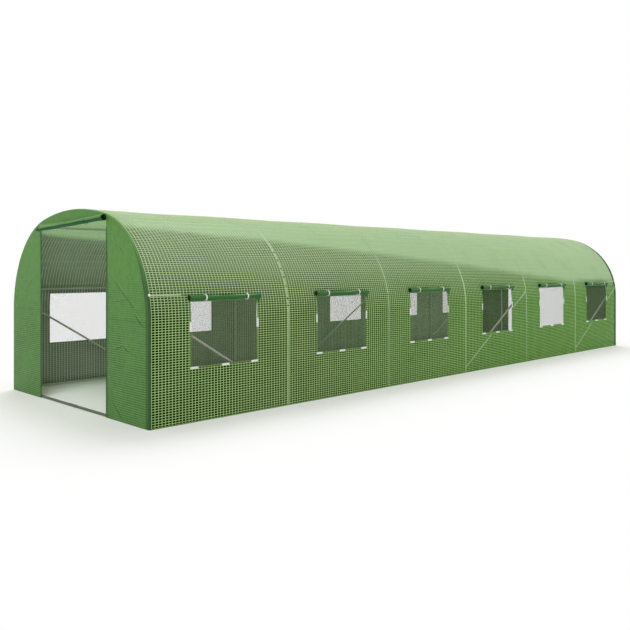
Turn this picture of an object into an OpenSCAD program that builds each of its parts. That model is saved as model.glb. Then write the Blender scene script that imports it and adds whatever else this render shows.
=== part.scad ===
// Polytunnel greenhouse: a tube frame under a stretched film cover,
// with netted side windows and a doorway in each end, all flaps rolled up.
// X runs across, Y runs from the front end to the rear end, Z is up.
// The origin is on the ground, in the middle of the tunnel.

/* [Tunnel] */
// Width over the cover
tunnel_w = 3000; // [2850:10:3300]
// Length over the end panels
tunnel_l = 10000; // [8000:100:12000]
// Height of the straight wall, up to where the roof starts to bend
wall_h = 950; // [930:5:1000]
// Outside radius of the shoulder bend
shoulder_r = 1050; // [1000:10:1090]
// Outside radius of the crown bend
crown_r = 3100; // [2800:50:3600]
// Number of bays between the hoops
bays = 6; // [5:1:7]

/* [Frame] */
// Diameter of the hoop tube
hoop_d = 28; // [22:1:34]
// Diameter of the purlin tube
purlin_d = 25; // [18:1:30]
// Diameter of the base rail tube
rail_d = 25; // [20:1:27]
// Diameter of the sleeve that joins the two halves of an end rail
sleeve_d = 29; // [28:0.5:34]
// Length of that sleeve
sleeve_l = 160; // [80:5:240]
// Diameter of the diagonal brace tube
brace_d = 25; // [18:1:28]
// Diameter of the door post tube
post_d = 25; // [18:1:30]
// Distance of a door post from the doorway's edge
post_gap = 120; // [60:5:200]
// Height of the side purlin
side_purlin_h = 1187; // [1175:1:1230]
// Angle up the shoulder bend at which the shoulder purlin sits
shoulder_purlin_angle = 70; // [55:1:74]
// Height of a brace's upper fixing
brace_top_h = 1090; // [900:10:1100]
// Height of a brace's lower fixing
brace_foot_h = 75; // [65:5:200]
// Length of the flattened eye at a brace's end
brace_eye_l = 90; // [60:5:140]
// Width of that flattened eye
brace_eye_w = 36; // [28:1:42]
// Thickness of that flattened eye
brace_eye_t = 4; // [3:0.5:6]

/* [Cover] */
// Thickness of the film
film_t = 3; // [2.5:0.5:5]
// Thickness of the insect net
net_t = 1; // [0.8:0.1:2]
// How far the net laps behind the film round a window
net_lap = 20; // [10:1:40]

/* [Windows] */
// Width of a window opening
window_w = 800; // [600:10:1000]
// Height of a window opening
window_h = 605; // [400:5:610]
// Height of the window sill above the ground
window_sill = 520; // [300:10:530]
// Height of a window roll's axis above the top of its opening
window_roll_rise = 38; // [32:1:60]
// How far a window roll passes each side of its opening
window_roll_over = 35; // [20:1:80]

/* [Doors] */
// Width of a doorway
door_w = 1450; // [1100:10:1600]
// Height of a doorway
door_h = 1900; // [1700:5:1905]
// Drop of the door roll's axis below the top of the doorway, at mid length
door_roll_drop = 5; // [0:1:40]
// Slant of the door roll
door_roll_tilt = 2.3; // [0:0.1:3]
// Length of the door roll
door_roll_l = 1500; // [1460:10:1700]
// How far the door roll sits to the left of the doorway's middle
door_roll_shift = 10; // [0:1:60]
// How far the loose flap laps up over the gable
flap_lap = 30; // [20:1:40]
// Width of the zip tape beside the doorway
zip_w = 24; // [15:1:40]
// Thickness of the zip tape
zip_t = 2; // [1:0.5:3]

/* [Rolls and fastenings] */
// Radius of the hollow in the middle of a rolled flap
roll_core_r = 9; // [6:0.5:14]
// Turns of cloth in a rolled flap
roll_turns = 4.5; // [2:0.5:6]
// Step from one turn to the next
roll_pitch = 4; // [3.5:0.1:5]
// Thickness of the rolled cloth
cloth_t = 2.4; // [1.5:0.1:3]
// Width of the tie round a roll
tie_w = 14; // [8:1:25]
// Thickness of that tie
tie_t = 2; // [1:0.5:3]
// Length of a hook-and-loop tab
tab_l = 90; // [50:5:140]
// Width of that tab
tab_w = 20; // [12:1:30]
// Thickness of that tab
tab_t = 2; // [1:0.5:3]

/* [Hidden] */
$fn = 48;

// Gap left between pieces that seat on each other
fit_gap = 0.3;
// How far a cutting shape passes the faces that it cuts
cut_over = 5;
// Facets in a full turn of the long arcs
arc_fn = 360;
// Facets of the shapes that are blended by a hull
blend_fn = 32;
// Points in one turn of a rolled flap
roll_steps = 18;
// Places of the two ties along a window roll, as shares of its length
window_tie_shares = [-0.29, 0.29];
// Places of the two ties along the door roll, as shares of its length
door_tie_shares = [-0.45, 0.26];
// Places of the tabs under a window, as shares of its width
sill_tab_shares = [-0.46, 0, 0.46];
// Height of the tabs beside a window, as a share of its height
side_tab_share = 0.615;
// Size of the thin end of a brace's blend, as a share of its tube
blend_share = 0.94;

// The arch: a straight wall, a shoulder arc and a crown arc that meet in tangents
shoulder_cx = tunnel_w / 2 - shoulder_r;
crown_rise = sqrt(pow(crown_r - shoulder_r, 2) - pow(shoulder_cx, 2));
crown_cz = wall_h - crown_rise;
crown_half = atan2(shoulder_cx, crown_rise);
shoulder_sweep = 90 - crown_half;
joint_x = crown_r * sin(crown_half);
// The wall sheet bends in with the shoulder as far up as the side purlin
eave_angle = asin((side_purlin_h - wall_h) / shoulder_r);

// Layers inwards from the cover's outer face
edge_r = film_t + fit_gap + hoop_d / 2;
hoop_inset = edge_r;
layer_inset = hoop_inset + hoop_d / 2 + fit_gap;
purlin_inset = layer_inset + purlin_d / 2;
rail_inset = layer_inset + rail_d / 2;
brace_inset = layer_inset + brace_d / 2;
// How far the hoops have bent in at the top of a brace, and the lean that follows them
brace_shift = arch_in(brace_top_h + brace_eye_w / 2, layer_inset);
brace_lean = atan2(brace_shift, brace_top_h - brace_foot_h);

// Places along the tunnel
front_y = -tunnel_l / 2;
first_hoop_y = front_y + edge_r;
bay_l = (tunnel_l - 2 * edge_r) / bays;
sheet_l = tunnel_l - 2 * edge_r;
post_y = first_hoop_y + hoop_d / 2 + fit_gap + post_d / 2;
brace_bays = [0, floor(bays / 2), bays - 1];
window_top = window_sill + window_h;

// The rolls
roll_r = roll_core_r + roll_pitch * roll_turns + cloth_t;
tie_r = roll_r + fit_gap + tie_t;
window_roll_z = window_top + window_roll_rise;
window_roll_x = shoulder_cx + sqrt(pow(shoulder_r + fit_gap + tie_r, 2) - pow(window_roll_z - wall_h, 2));
window_in = arch_in(window_top, 0);
window_roll_l = window_w + 2 * window_roll_over;
flap_y = front_y - fit_gap - cloth_t;
door_roll_y = flap_y - fit_gap - tie_r;
door_roll_z = door_h - door_roll_drop;
zip_top = door_roll_z - door_roll_l / 2 * sin(door_roll_tilt) - tie_r - tie_t;

function hoop_y(i) = first_hoop_y + i * bay_l;
function window_y(i) = hoop_y(i) + bay_l / 2;

// How far the shoulder has bent in from the wall at height z, on the layer at inset
function arch_in(z, inset) =
    let (r = shoulder_r - inset, rise = max(0, z - wall_h))
    r - sqrt(r * r - rise * rise);

// Height of the arch at x, taken in from the outer face by inset
function arch_z(x, inset) =
    abs(x) < joint_x
        ? crown_cz + sqrt(pow(crown_r - inset, 2) - x * x)
        : wall_h + sqrt(pow(shoulder_r - inset, 2) - pow(abs(x) - shoulder_cx, 2));

// Height of the door roll's axis at x
function door_axis_z(x) = door_roll_z + (x + door_roll_shift) * tan(door_roll_tilt);

module at_hoops() {
    for (i = [0:bays]) translate([0, hoop_y(i), 0]) children();
}

module at_windows() {
    for (i = [0:bays - 1]) translate([0, window_y(i), 0]) children();
}

module on_left() {
    mirror([1, 0, 0]) children();
}

module at_rear() {
    rotate([0, 0, 180]) children();
}

// Sweeps a profile (distance from the arc's centre, distance towards the front) round an arc
module sweep_arc(centre_x, centre_z, start, sweep) {
    translate([centre_x, 0, centre_z])
        rotate([90, 0, 0])
            rotate([0, 0, start])
                rotate_extrude(angle = sweep, $fn = arc_fn)
                    children();
}

module sweep_shoulder(from = 0) {
    sweep_arc(shoulder_cx, wall_h, from, shoulder_sweep - from) children();
}

module sweep_crown() {
    sweep_arc(0, crown_cz, 90 - crown_half, 2 * crown_half) children();
}

// Lays a tube of diameter d along Y, one length to a bay
module bay_tubes(x, z, d) {
    for (i = [0:bays - 1])
        translate([x, hoop_y(i) + fit_gap / 2, z])
            rotate([-90, 0, 0])
                cylinder(d = d, h = bay_l - fit_gap);
}

// Frame

module leg() {
    color("gainsboro")
        translate([tunnel_w / 2 - hoop_inset, 0, 0])
            cylinder(d = hoop_d, h = wall_h);
}

module bend() {
    color("gainsboro")
        sweep_shoulder()
            translate([shoulder_r - hoop_inset, 0])
                circle(d = hoop_d);
}

module crown_tube() {
    color("gainsboro")
        sweep_crown()
            translate([crown_r - hoop_inset, 0])
                circle(d = hoop_d);
}

module ridge_purlin() {
    color("silver") bay_tubes(0, crown_cz + crown_r - purlin_inset, purlin_d);
}

module shoulder_purlin() {
    reach = shoulder_r - purlin_inset;
    color("silver")
        bay_tubes(
            shoulder_cx + reach * cos(shoulder_purlin_angle),
            wall_h + reach * sin(shoulder_purlin_angle),
            purlin_d
        );
}

module side_purlin() {
    color("silver")
        bay_tubes(tunnel_w / 2 - purlin_inset - arch_in(side_purlin_h, purlin_inset), side_purlin_h, purlin_d);
}

// The end lengths stop against the rails that cross the doorways
module base_rail() {
    color("silver")
        for (i = [0:bays - 1]) {
            from_y = i == 0 ? hoop_y(0) + rail_d / 2 + fit_gap : hoop_y(i) + fit_gap / 2;
            to_y = i == bays - 1 ? hoop_y(bays) - rail_d / 2 - fit_gap : hoop_y(i + 1) - fit_gap / 2;
            translate([tunnel_w / 2 - rail_inset, from_y, rail_d / 2])
                rotate([-90, 0, 0])
                    cylinder(d = rail_d, h = to_y - from_y);
        }
}

// Two tubes in one sleeve, between the legs of the end hoop
module end_rail() {
    span = tunnel_w - 2 * layer_inset;
    color("darkkhaki")
        translate([0, first_hoop_y, sleeve_d / 2])
            rotate([0, 90, 0]) {
                cylinder(d = rail_d, h = span, center = true);
                cylinder(d = sleeve_d, h = sleeve_l, center = true);
            }
}

// A brace from one point of the wall to another, each given as [y, z]
module brace(from, to) {
    run = to - from;
    length = norm(run);
    eye_x = brace_d / 2 - brace_eye_t;
    translate([tunnel_w / 2 - brace_inset, from[0], from[1]])
        rotate([atan2(run[1], run[0]) - 90, 0, 0]) {
            translate([0, 0, brace_eye_l - brace_d / 2])
                cylinder(d = brace_d, h = length - 2 * brace_eye_l + brace_d);
            for (turn = [0, 1])
                translate([0, 0, turn * length])
                    mirror([0, 0, turn])
                        hull() {
                            translate([0, 0, brace_eye_l])
                                cylinder(d = brace_d * blend_share, h = brace_eye_t, $fn = blend_fn);
                            translate([eye_x, 0, 0])
                                rotate([0, 90, 0])
                                    cylinder(d = brace_eye_w, h = brace_eye_t, $fn = blend_fn);
                        }
        }
}

// The first brace falls to the rear, and the others rise to the rear
module braces() {
    color("silver")
        for (bay = brace_bays) {
            front_h = bay == 0 ? brace_top_h : brace_foot_h;
            rear_h = bay == 0 ? brace_foot_h : brace_top_h;
            translate([tunnel_w / 2 - brace_inset, 0, brace_foot_h])
                rotate([0, -brace_lean, 0])
                    translate([brace_inset - tunnel_w / 2, 0, -brace_foot_h])
                        brace([hoop_y(bay), front_h], [hoop_y(bay + 1), rear_h]);
        }
}

module door_posts() {
    post_x = door_w / 2 + post_gap + post_d / 2;
    color("silver")
        for (side = [-1, 1])
            translate([side * post_x, post_y, 0])
                cylinder(d = post_d, h = arch_z(post_x + post_d / 2, film_t + fit_gap));
}

// Cover

// A layer of the side from the ground up to the side purlin, thickness t
module wall_layer(inset, t) {
    translate([tunnel_w / 2 - inset - t, -sheet_l / 2, 0])
        cube([t, sheet_l, wall_h]);
    sweep_arc(shoulder_cx, wall_h, 0, eave_angle)
        translate([shoulder_r - inset - t, -sheet_l / 2])
            square([t, sheet_l]);
}

// A box through the wall at each window, larger by lap all round
module window_boxes(lap) {
    depth = window_in + film_t + net_t + 2 * cut_over;
    at_windows()
        translate([tunnel_w / 2 + cut_over - depth, -window_w / 2 - lap, window_sill - lap])
            cube([depth, window_w + 2 * lap, window_h + 2 * lap]);
}

module wall_sheet() {
    color("mediumseagreen", 0.7)
        difference() {
            wall_layer(0, film_t);
            window_boxes(0);
        }
}

module roof_sheet() {
    color("darkseagreen", 0.7)
        sweep_shoulder(eave_angle)
            translate([shoulder_r - film_t, -sheet_l / 2])
                square([film_t, sheet_l]);
}

module crown_sheet() {
    color("darkseagreen", 0.7)
        sweep_crown()
            translate([crown_r - film_t, -sheet_l / 2])
                square([film_t, sheet_l]);
}

// The outline of an end, inside the rounded edge
module end_outline() {
    half_w = tunnel_w / 2 - edge_r;
    translate([-half_w, 0]) square([2 * half_w, wall_h]);
    for (side = [-1, 1])
        translate([side * shoulder_cx, wall_h]) circle(r = shoulder_r - edge_r, $fn = arc_fn);
    intersection() {
        translate([0, crown_cz]) circle(r = crown_r - edge_r, $fn = arc_fn);
        polygon([
            [-shoulder_cx, wall_h],
            [shoulder_cx, wall_h],
            [shoulder_cx + crown_r * sin(crown_half), wall_h + crown_r * cos(crown_half)],
            [-shoulder_cx - crown_r * sin(crown_half), wall_h + crown_r * cos(crown_half)]
        ]);
    }
}

// The part of an end panel between two heights and two distances from the middle
module end_piece(from_x, to_x, from_z) {
    color("forestgreen")
        translate([0, front_y + film_t, 0])
            rotate([90, 0, 0])
                linear_extrude(height = film_t)
                    intersection() {
                        end_outline();
                        translate([from_x, from_z]) square([to_x - from_x, crown_cz + crown_r - from_z]);
                    }
}

module side_panel() {
    end_piece(door_w / 2, tunnel_w / 2, 0);
}

module gable() {
    end_piece(-door_w / 2, door_w / 2, door_h);
}

// A quarter of a ring, rounding the edge from the film to the end panel
module edge_profile() {
    intersection() {
        difference() {
            circle(r = edge_r);
            circle(r = edge_r - film_t);
        }
        square(edge_r);
    }
}

// The binding is sewn on in five lengths, with a seam wherever the curve changes
module edge_binding() {
    seam = asin(fit_gap / crown_r);
    color("darkgreen") {
        for (side = [-1, 1]) {
            translate([side * (tunnel_w / 2 - edge_r), first_hoop_y, 0])
                rotate([0, 0, side == 1 ? -90 : 180])
                    linear_extrude(height = wall_h - fit_gap)
                        edge_profile();
            sweep_arc(side * shoulder_cx, wall_h, side == 1 ? 0 : 90 + crown_half, shoulder_sweep)
                translate([shoulder_r - edge_r, -first_hoop_y])
                    edge_profile();
        }
        sweep_arc(0, crown_cz, 90 - crown_half + seam, 2 * (crown_half - seam))
            translate([crown_r - edge_r, -first_hoop_y])
                edge_profile();
    }
}

// Windows

module window_nets() {
    color("darkolivegreen", 0.4)
        intersection() {
            wall_layer(film_t, net_t);
            window_boxes(net_lap);
        }
}

// One point of the roll's spiral, some turns out from its core
function roll_point(turn, out) =
    let (r = roll_core_r + roll_pitch * turn + out, a = 180 + 360 * (roll_turns - turn))
    [r * cos(a), r * sin(a)];

// A wound strip of cloth, its outer edge against the wall behind it
module roll_section() {
    last = roll_turns * roll_steps;
    polygon(concat(
        [for (i = [0:last]) roll_point(i / roll_steps, cloth_t)],
        [for (i = [last:-1:0]) roll_point(i / roll_steps, 0)]
    ));
}

module window_rolls() {
    color("seagreen")
        at_windows()
            translate([window_roll_x, window_roll_l / 2, window_roll_z])
                rotate([90, 0, 0])
                    linear_extrude(height = window_roll_l)
                        roll_section();
}

// A closed band round a roll whose axis is along Z
module tie() {
    difference() {
        cylinder(r = tie_r, h = tie_w, center = true);
        cylinder(r = tie_r - tie_t, h = tie_w + 2 * cut_over, center = true);
    }
}

module window_ties() {
    color("whitesmoke")
        at_windows()
            for (share = window_tie_shares)
                translate([window_roll_x, share * window_roll_l, window_roll_z])
                    rotate([90, 0, 0])
                        tie();
}

module tab(along_y, along_z) {
    color("white")
        translate([tunnel_w / 2, -along_y / 2, -along_z / 2])
            cube([tab_t, along_y, along_z]);
}

module window_tabs() {
    at_windows() {
        for (share = sill_tab_shares)
            translate([0, share * window_w, window_sill - tab_w / 2]) tab(tab_l, tab_w);
        for (side = [-1, 1])
            translate([0, side * (window_w + tab_w) / 2, window_sill + side_tab_share * window_h])
                tab(tab_w, tab_l);
    }
}

// Doorway

// Puts a shape that lies along Z on the slanting axis of the door roll
module on_door_axis() {
    translate([-door_roll_shift, door_roll_y, door_roll_z])
        rotate([0, 90 - door_roll_tilt, 0])
            children();
}

module door_roll() {
    color("seagreen") {
        on_door_axis()
            translate([0, 0, -door_roll_l / 2])
                linear_extrude(height = door_roll_l)
                    rotate([0, 0, -90])
                        roll_section();
        translate([0, front_y - fit_gap, 0])
            rotate([90, 0, 0])
                linear_extrude(height = cloth_t)
                    polygon([
                        [-door_w / 2, door_axis_z(-door_w / 2)],
                        [door_w / 2, door_axis_z(door_w / 2)],
                        [door_w / 2, door_h + flap_lap],
                        [-door_w / 2, door_h + flap_lap]
                    ]);
    }
}

module door_ties() {
    color("whitesmoke")
        for (share = door_tie_shares)
            on_door_axis()
                translate([0, 0, share * door_roll_l])
                    tie();
}

module door_zips() {
    color("darkgreen")
        for (side = [0, 1])
            mirror([side, 0, 0])
                translate([door_w / 2, front_y - zip_t, 0])
                    cube([zip_w, zip_t, zip_top]);
}

at_hoops() leg();  // right_legs
on_left() at_hoops() leg();  // left_legs
at_hoops() bend();  // right_bends
on_left() at_hoops() bend();  // left_bends
at_hoops() crown_tube();  // crown_tubes
ridge_purlin();
shoulder_purlin();  // right_shoulder_purlin
on_left() shoulder_purlin();  // left_shoulder_purlin
side_purlin();  // right_side_purlin
on_left() side_purlin();  // left_side_purlin
base_rail();  // right_base_rail
on_left() base_rail();  // left_base_rail
end_rail();  // front_base_rail
at_rear() end_rail();  // rear_base_rail
braces();  // right_braces
on_left() braces();  // left_braces
door_posts();  // front_door_posts
at_rear() door_posts();  // rear_door_posts
wall_sheet();  // right_wall_sheet
on_left() wall_sheet();  // left_wall_sheet
roof_sheet();  // right_roof_sheet
on_left() roof_sheet();  // left_roof_sheet
crown_sheet();
on_left() side_panel();  // front_left_panel
side_panel();  // front_right_panel
gable();  // front_gable
at_rear() side_panel();  // rear_left_panel
at_rear() on_left() side_panel();  // rear_right_panel
at_rear() gable();  // rear_gable
edge_binding();  // front_edge_binding
at_rear() edge_binding();  // rear_edge_binding
window_nets();  // right_window_nets
on_left() window_nets();  // left_window_nets
window_rolls();  // right_window_rolls
on_left() window_rolls();  // left_window_rolls
window_ties();  // right_roll_ties
on_left() window_ties();  // left_roll_ties
window_tabs();  // right_window_tabs
on_left() window_tabs();  // left_window_tabs
door_roll();  // front_door_roll
at_rear() door_roll();  // rear_door_roll
door_ties();  // front_door_ties
at_rear() door_ties();  // rear_door_ties
door_zips();  // front_door_zips
at_rear() door_zips();  // rear_door_zips
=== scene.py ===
"""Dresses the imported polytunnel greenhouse: film cover, end cloth, flaps, nets and tube frame.

All lengths are metres in the row frame: X across, Y from the front end to the rear end, Z up.
Flat cover coordinates are (along the tunnel, along the girth from the right-hand ground edge, lift).
"""
from __future__ import annotations

import logging
import math
from dataclasses import dataclass, field
from enum import Enum
from typing import Any, Iterable, Sequence

import bmesh
import bpy
import numpy as np
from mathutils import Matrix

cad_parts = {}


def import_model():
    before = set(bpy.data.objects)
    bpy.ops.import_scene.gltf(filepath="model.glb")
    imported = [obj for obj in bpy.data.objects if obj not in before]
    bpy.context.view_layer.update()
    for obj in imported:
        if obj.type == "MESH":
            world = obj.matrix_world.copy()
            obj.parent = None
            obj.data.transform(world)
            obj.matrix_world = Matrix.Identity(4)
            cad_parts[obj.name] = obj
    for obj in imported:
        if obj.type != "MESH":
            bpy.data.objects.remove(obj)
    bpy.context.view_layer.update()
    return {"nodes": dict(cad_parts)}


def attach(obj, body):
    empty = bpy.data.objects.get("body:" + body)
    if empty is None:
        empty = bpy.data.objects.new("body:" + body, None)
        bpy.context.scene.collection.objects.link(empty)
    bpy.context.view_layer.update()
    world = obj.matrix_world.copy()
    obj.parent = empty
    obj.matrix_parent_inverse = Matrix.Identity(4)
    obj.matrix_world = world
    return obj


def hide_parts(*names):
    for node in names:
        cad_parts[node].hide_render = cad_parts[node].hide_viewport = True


log = logging.getLogger("polytunnel")
Colour = tuple[float, float, float]
Triple = tuple[float, float, float]
Fold = tuple[float, float, float, float, float]
Shape = tuple[np.ndarray, list[tuple[int, ...]], np.ndarray]
Runs = Iterable[tuple[np.ndarray, np.ndarray]]
Object = bpy.types.Object
Material = bpy.types.Material
Socket = bpy.types.NodeSocket

# Gap between pieces that seat on each other, and thickness of a roll's tie, of the flap behind the
# door roll and of a flap's loose cloth
FIT_GAP = 0.0003
TIE_T = 0.0020
FLAP_T = 0.0024
LOOSE_T = 0.0016


class Side(Enum):
    """The long sides of the tunnel, seen from the front doorway."""

    RIGHT = 1
    LEFT = -1

    @property
    def tag(self) -> str:
        """The side's name at the start of its nodes' names."""
        return self.name.lower()


class End(Enum):
    """The two ends of the tunnel. The rear one is the front one turned half round."""

    FRONT = 1
    REAR = -1

    @property
    def tag(self) -> str:
        """The end's name at the start of its nodes' names."""
        return self.name.lower()

    @property
    def turn(self) -> np.ndarray:
        """Factors for x, y and z that turn front-end points to this end."""
        return np.array([self.value, self.value, 1.0])


# Mesh and node helpers


class Wires:
    """Adds nodes to one tree and joins them up."""

    def __init__(self, tree: bpy.types.NodeTree) -> None:
        """Takes the tree to add to."""
        self.tree = tree

    def add(self, kind: str, inputs: dict[Any, Any] | None = None, **settings: Any) -> bpy.types.Node:
        """Adds one node.

        Args:
            kind: The node's Blender type.
            inputs: Socket name or number to a value, or to the output socket that feeds it.
            settings: Properties of the node itself.

        Returns:
            The new node.
        """
        made = self.tree.nodes.new(kind)
        for key, value in settings.items():
            setattr(made, key, value)
        for key, value in (inputs or {}).items():
            if isinstance(value, Socket):
                self.tree.links.new(value, made.inputs[key])
            else:
                made.inputs[key].default_value = value
        return made

    def math(self, operation: str, *values: Any) -> Socket:
        """Adds a Math node and returns its output."""
        return self.add("ShaderNodeMath", dict(enumerate(values)), operation=operation).outputs[0]

    def vector(self, operation: str, *values: Any) -> Socket:
        """Adds a Vector Math node and returns its vector, or its number where it gives one."""
        made = self.add("ShaderNodeVectorMath", dict(enumerate(values)), operation=operation)
        return made.outputs["Value" if operation in ("DOT_PRODUCT", "LENGTH") else "Vector"]

    def in_sight(self) -> Socket:
        """Gives 1 on the rays that the eye, a gloss or a glass looks along, and 0 on the rest."""
        seen = self.add("ShaderNodeLightPath").outputs
        mirrored = self.math("MAXIMUM", seen["Is Glossy Ray"], seen["Is Transmission Ray"])
        return self.math("MAXIMUM", seen["Is Camera Ray"], mirrored)

    def blend(self, share: Any, first: Any, second: Any) -> Socket:
        """Mixes two colours.

        Args:
            share: How much of the second colour shows.
            first: A colour or a socket.
            second: A colour or a socket.

        Returns:
            The mixed colour's socket.
        """
        put = [v if isinstance(v, Socket) else (*v, 1.0) for v in (first, second)]
        node = self.add("ShaderNodeMix", {0: share, 6: put[0], 7: put[1]}, data_type="RGBA")
        return node.outputs[2]

    def span(self, value: Socket, low: float, high: float, to: tuple[float, float]) -> Socket:
        """Maps a value from one range to another, held at the ends.

        Args:
            value: The socket to map.
            low: Where the first range starts.
            high: Where it ends.
            to: The new range.

        Returns:
            The mapped socket.
        """
        keys = {"Value": value, "From Min": low, "From Max": high, "To Min": to[0], "To Max": to[1]}
        return self.add("ShaderNodeMapRange", keys).outputs[0]

    def bump(self, height: Socket, strength: float, distance: float) -> Socket:
        """Turns a pattern into a bumped normal."""
        keys = {"Height": height, "Strength": strength, "Distance": distance}
        return self.add("ShaderNodeBump", keys).outputs[0]


def mesh_object(
    name: str,
    points: np.ndarray,
    faces: Sequence[Sequence[int]] = (),
    edges: Sequence[Sequence[int]] = (),
    smooth: bool = True,
) -> Object:
    """Makes an object at the origin from arrays.

    Args:
        name: The object's name.
        points: One row of three metres to a vertex.
        faces: Vertex numbers of each face.
        edges: Vertex numbers of each loose edge.
        smooth: Whether the faces are shaded smooth.

    Returns:
        The new object, in the scene.
    """
    mesh = bpy.data.meshes.new(name)
    spots = [tuple(p) for p in np.asarray(points, float)]
    mesh.from_pydata(spots, [tuple(e) for e in edges], [tuple(f) for f in faces])
    mesh.validate()
    if len(mesh.polygons):
        mesh.polygons.foreach_set("use_smooth", [smooth] * len(mesh.polygons))
    made = bpy.data.objects.new(name, mesh)
    bpy.context.scene.collection.objects.link(made)
    return made


def grid_faces(rows: int, columns: int, closed: bool = False, start: int = 0) -> list[tuple[int, ...]]:
    """Lists the quads of a grid whose points run row by row.

    Args:
        rows: Number of rows of points.
        columns: Number of points in a row.
        closed: Whether each row joins up into a ring.
        start: Number of the first point.

    Returns:
        Four vertex numbers for each quad.
    """
    made = []
    for r in range(rows - 1):
        for c in range(columns if closed else columns - 1):
            n = (c + 1) % columns
            a, b = start + r * columns, start + (r + 1) * columns
            made.append((a + c, a + n, b + n, b + c))
    return made


def grid_rim(rows: int, columns: int) -> list[tuple[int, int]]:
    """Lists the pairs of neighbouring points round a grid's edge.

    Args:
        rows: Number of rows of points.
        columns: Number of points in a row.

    Returns:
        Two vertex numbers for each edge, in order round the grid.
    """
    rim = list(range(columns)) + [r * columns + columns - 1 for r in range(1, rows)]
    rim += [(rows - 1) * columns + i for i in range(columns - 2, -1, -1)]
    rim += [r * columns for r in range(rows - 2, 0, -1)]
    return list(zip(rim, rim[1:] + rim[:1]))


def settle(piece: Object) -> Object:
    """Turns the piece's modifiers into a plain mesh and removes them."""
    bpy.context.view_layer.update()
    seen = piece.evaluated_get(bpy.context.evaluated_depsgraph_get())
    mesh = bpy.data.meshes.new_from_object(seen)
    piece.modifiers.clear()
    piece.data = mesh
    return piece


def outward(piece: Object) -> Object:
    """Merges doubled points and turns every face of a closed piece outwards."""
    work = bmesh.new()
    work.from_mesh(piece.data)
    bmesh.ops.remove_doubles(work, verts=work.verts, dist=1e-6)
    bmesh.ops.dissolve_degenerate(work, dist=1e-6, edges=work.edges)
    bmesh.ops.recalc_face_normals(work, faces=work.faces)
    work.to_mesh(piece.data)
    work.free()
    return piece


def discard(*helpers: Object) -> None:
    """Removes helper objects that aren't part of the tunnel."""
    for helper in helpers:
        bpy.data.objects.remove(helper, do_unlink=True)


def keep_flat_map(piece: Object, flat: np.ndarray) -> None:
    """Keeps each point's place on the flat cut as the piece's UV map.

    Args:
        piece: The piece, as a plain mesh.
        flat: Two metres for each of its points.
    """
    layer = piece.data.uv_layers.new(name="UVMap")
    loops = np.zeros(len(piece.data.loops), int)
    piece.data.loops.foreach_get("vertex_index", loops)
    layer.data.foreach_set("uv", flat[loops].ravel())


def dress(piece: Object, material: Material) -> Object:
    """Gives the piece one material."""
    piece.data.materials.clear()
    piece.data.materials.append(material)
    return piece


# Finishes


def shaded(colour: Colour, factor: float) -> Colour:
    """Makes a colour darker or lighter, up to full strength."""
    return tuple(min(1.0, factor * c) for c in colour)


@dataclass(frozen=True)
class Finish:
    """What every finish shares: a name and a blank material."""

    name: str

    def start(self) -> tuple[Material, Wires, bpy.types.Node]:
        """Opens an empty material.

        Returns:
            The material, its wires and its output node.
        """
        made = bpy.data.materials.new(self.name)
        made.use_nodes = True
        made.node_tree.nodes.clear()
        wires = Wires(made.node_tree)
        return made, wires, wires.add("ShaderNodeOutputMaterial")

    def place(self, wires: Wires, scale: Triple = (1, 1, 1), flat: bool = False) -> Socket:
        """Gives scaled coordinates to draw a pattern on.

        Args:
            wires: The material's wires.
            scale: Factors for each axis.
            flat: Whether to read the piece's flat-cut map instead of its place.

        Returns:
            The coordinates' socket.
        """
        source = wires.add("ShaderNodeTexCoord").outputs["UV" if flat else "Object"]
        return wires.add("ShaderNodeMapping", {"Vector": source, "Scale": scale}).outputs[0]

    def noise(self, wires: Wires, where: Socket, scale: float, detail: float = 3) -> Socket:
        """Adds a noise pattern and returns its value."""
        keys = {"Vector": where, "Scale": scale, "Detail": detail, "Roughness": 0.55}
        return wires.add("ShaderNodeTexNoise", keys).outputs["Fac"]

    def bands(self, wires: Wires, value: Socket, pitch: float) -> Socket:
        """Gives a smooth wave from 0 to 1 along a coordinate.

        Args:
            wires: The material's wires.
            value: The coordinate in metres.
            pitch: Length of one wave in metres.

        Returns:
            The wave's socket.
        """
        turned = wires.math("SINE", wires.math("MULTIPLY", value, 2 * math.pi / pitch))
        return wires.math("MULTIPLY_ADD", turned, 0.5, 0.5)

    def material(self) -> Material:
        """Builds the material; each finish has its own way."""
        raise NotImplementedError(self.name)


@dataclass(frozen=True)
class TubeFinish(Finish):
    """Hot-dip galvanised tube, with a faint spangle and duller patches."""

    colour: Colour = (0.68, 0.68, 0.62)
    dull: Colour = (0.48, 0.48, 0.42)
    metallic: float = 0.35

    def material(self) -> Material:
        """Builds the material."""
        made, w, out = self.start()
        where = self.place(w)
        cells = w.add("ShaderNodeTexVoronoi", {"Vector": where, "Scale": 130.0}).outputs["Color"]
        spangle = w.add("ShaderNodeSeparateColor", {"Color": cells}).outputs[0]
        cloud = self.noise(w, where, 9.0)
        tone = w.math("MULTIPLY_ADD", spangle, 0.35, w.math("MULTIPLY", cloud, 0.65))
        shell = w.add("ShaderNodeBsdfPrincipled", {
            "Base Color": w.blend(tone, self.dull, self.colour),
            "Metallic": self.metallic,
            "Roughness": w.span(tone, 0.2, 0.8, (0.52, 0.34)),
            "Normal": w.bump(spangle, 0.12, 0.0004),
        })
        w.tree.links.new(shell.outputs[0], out.inputs[0])
        return made


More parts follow.
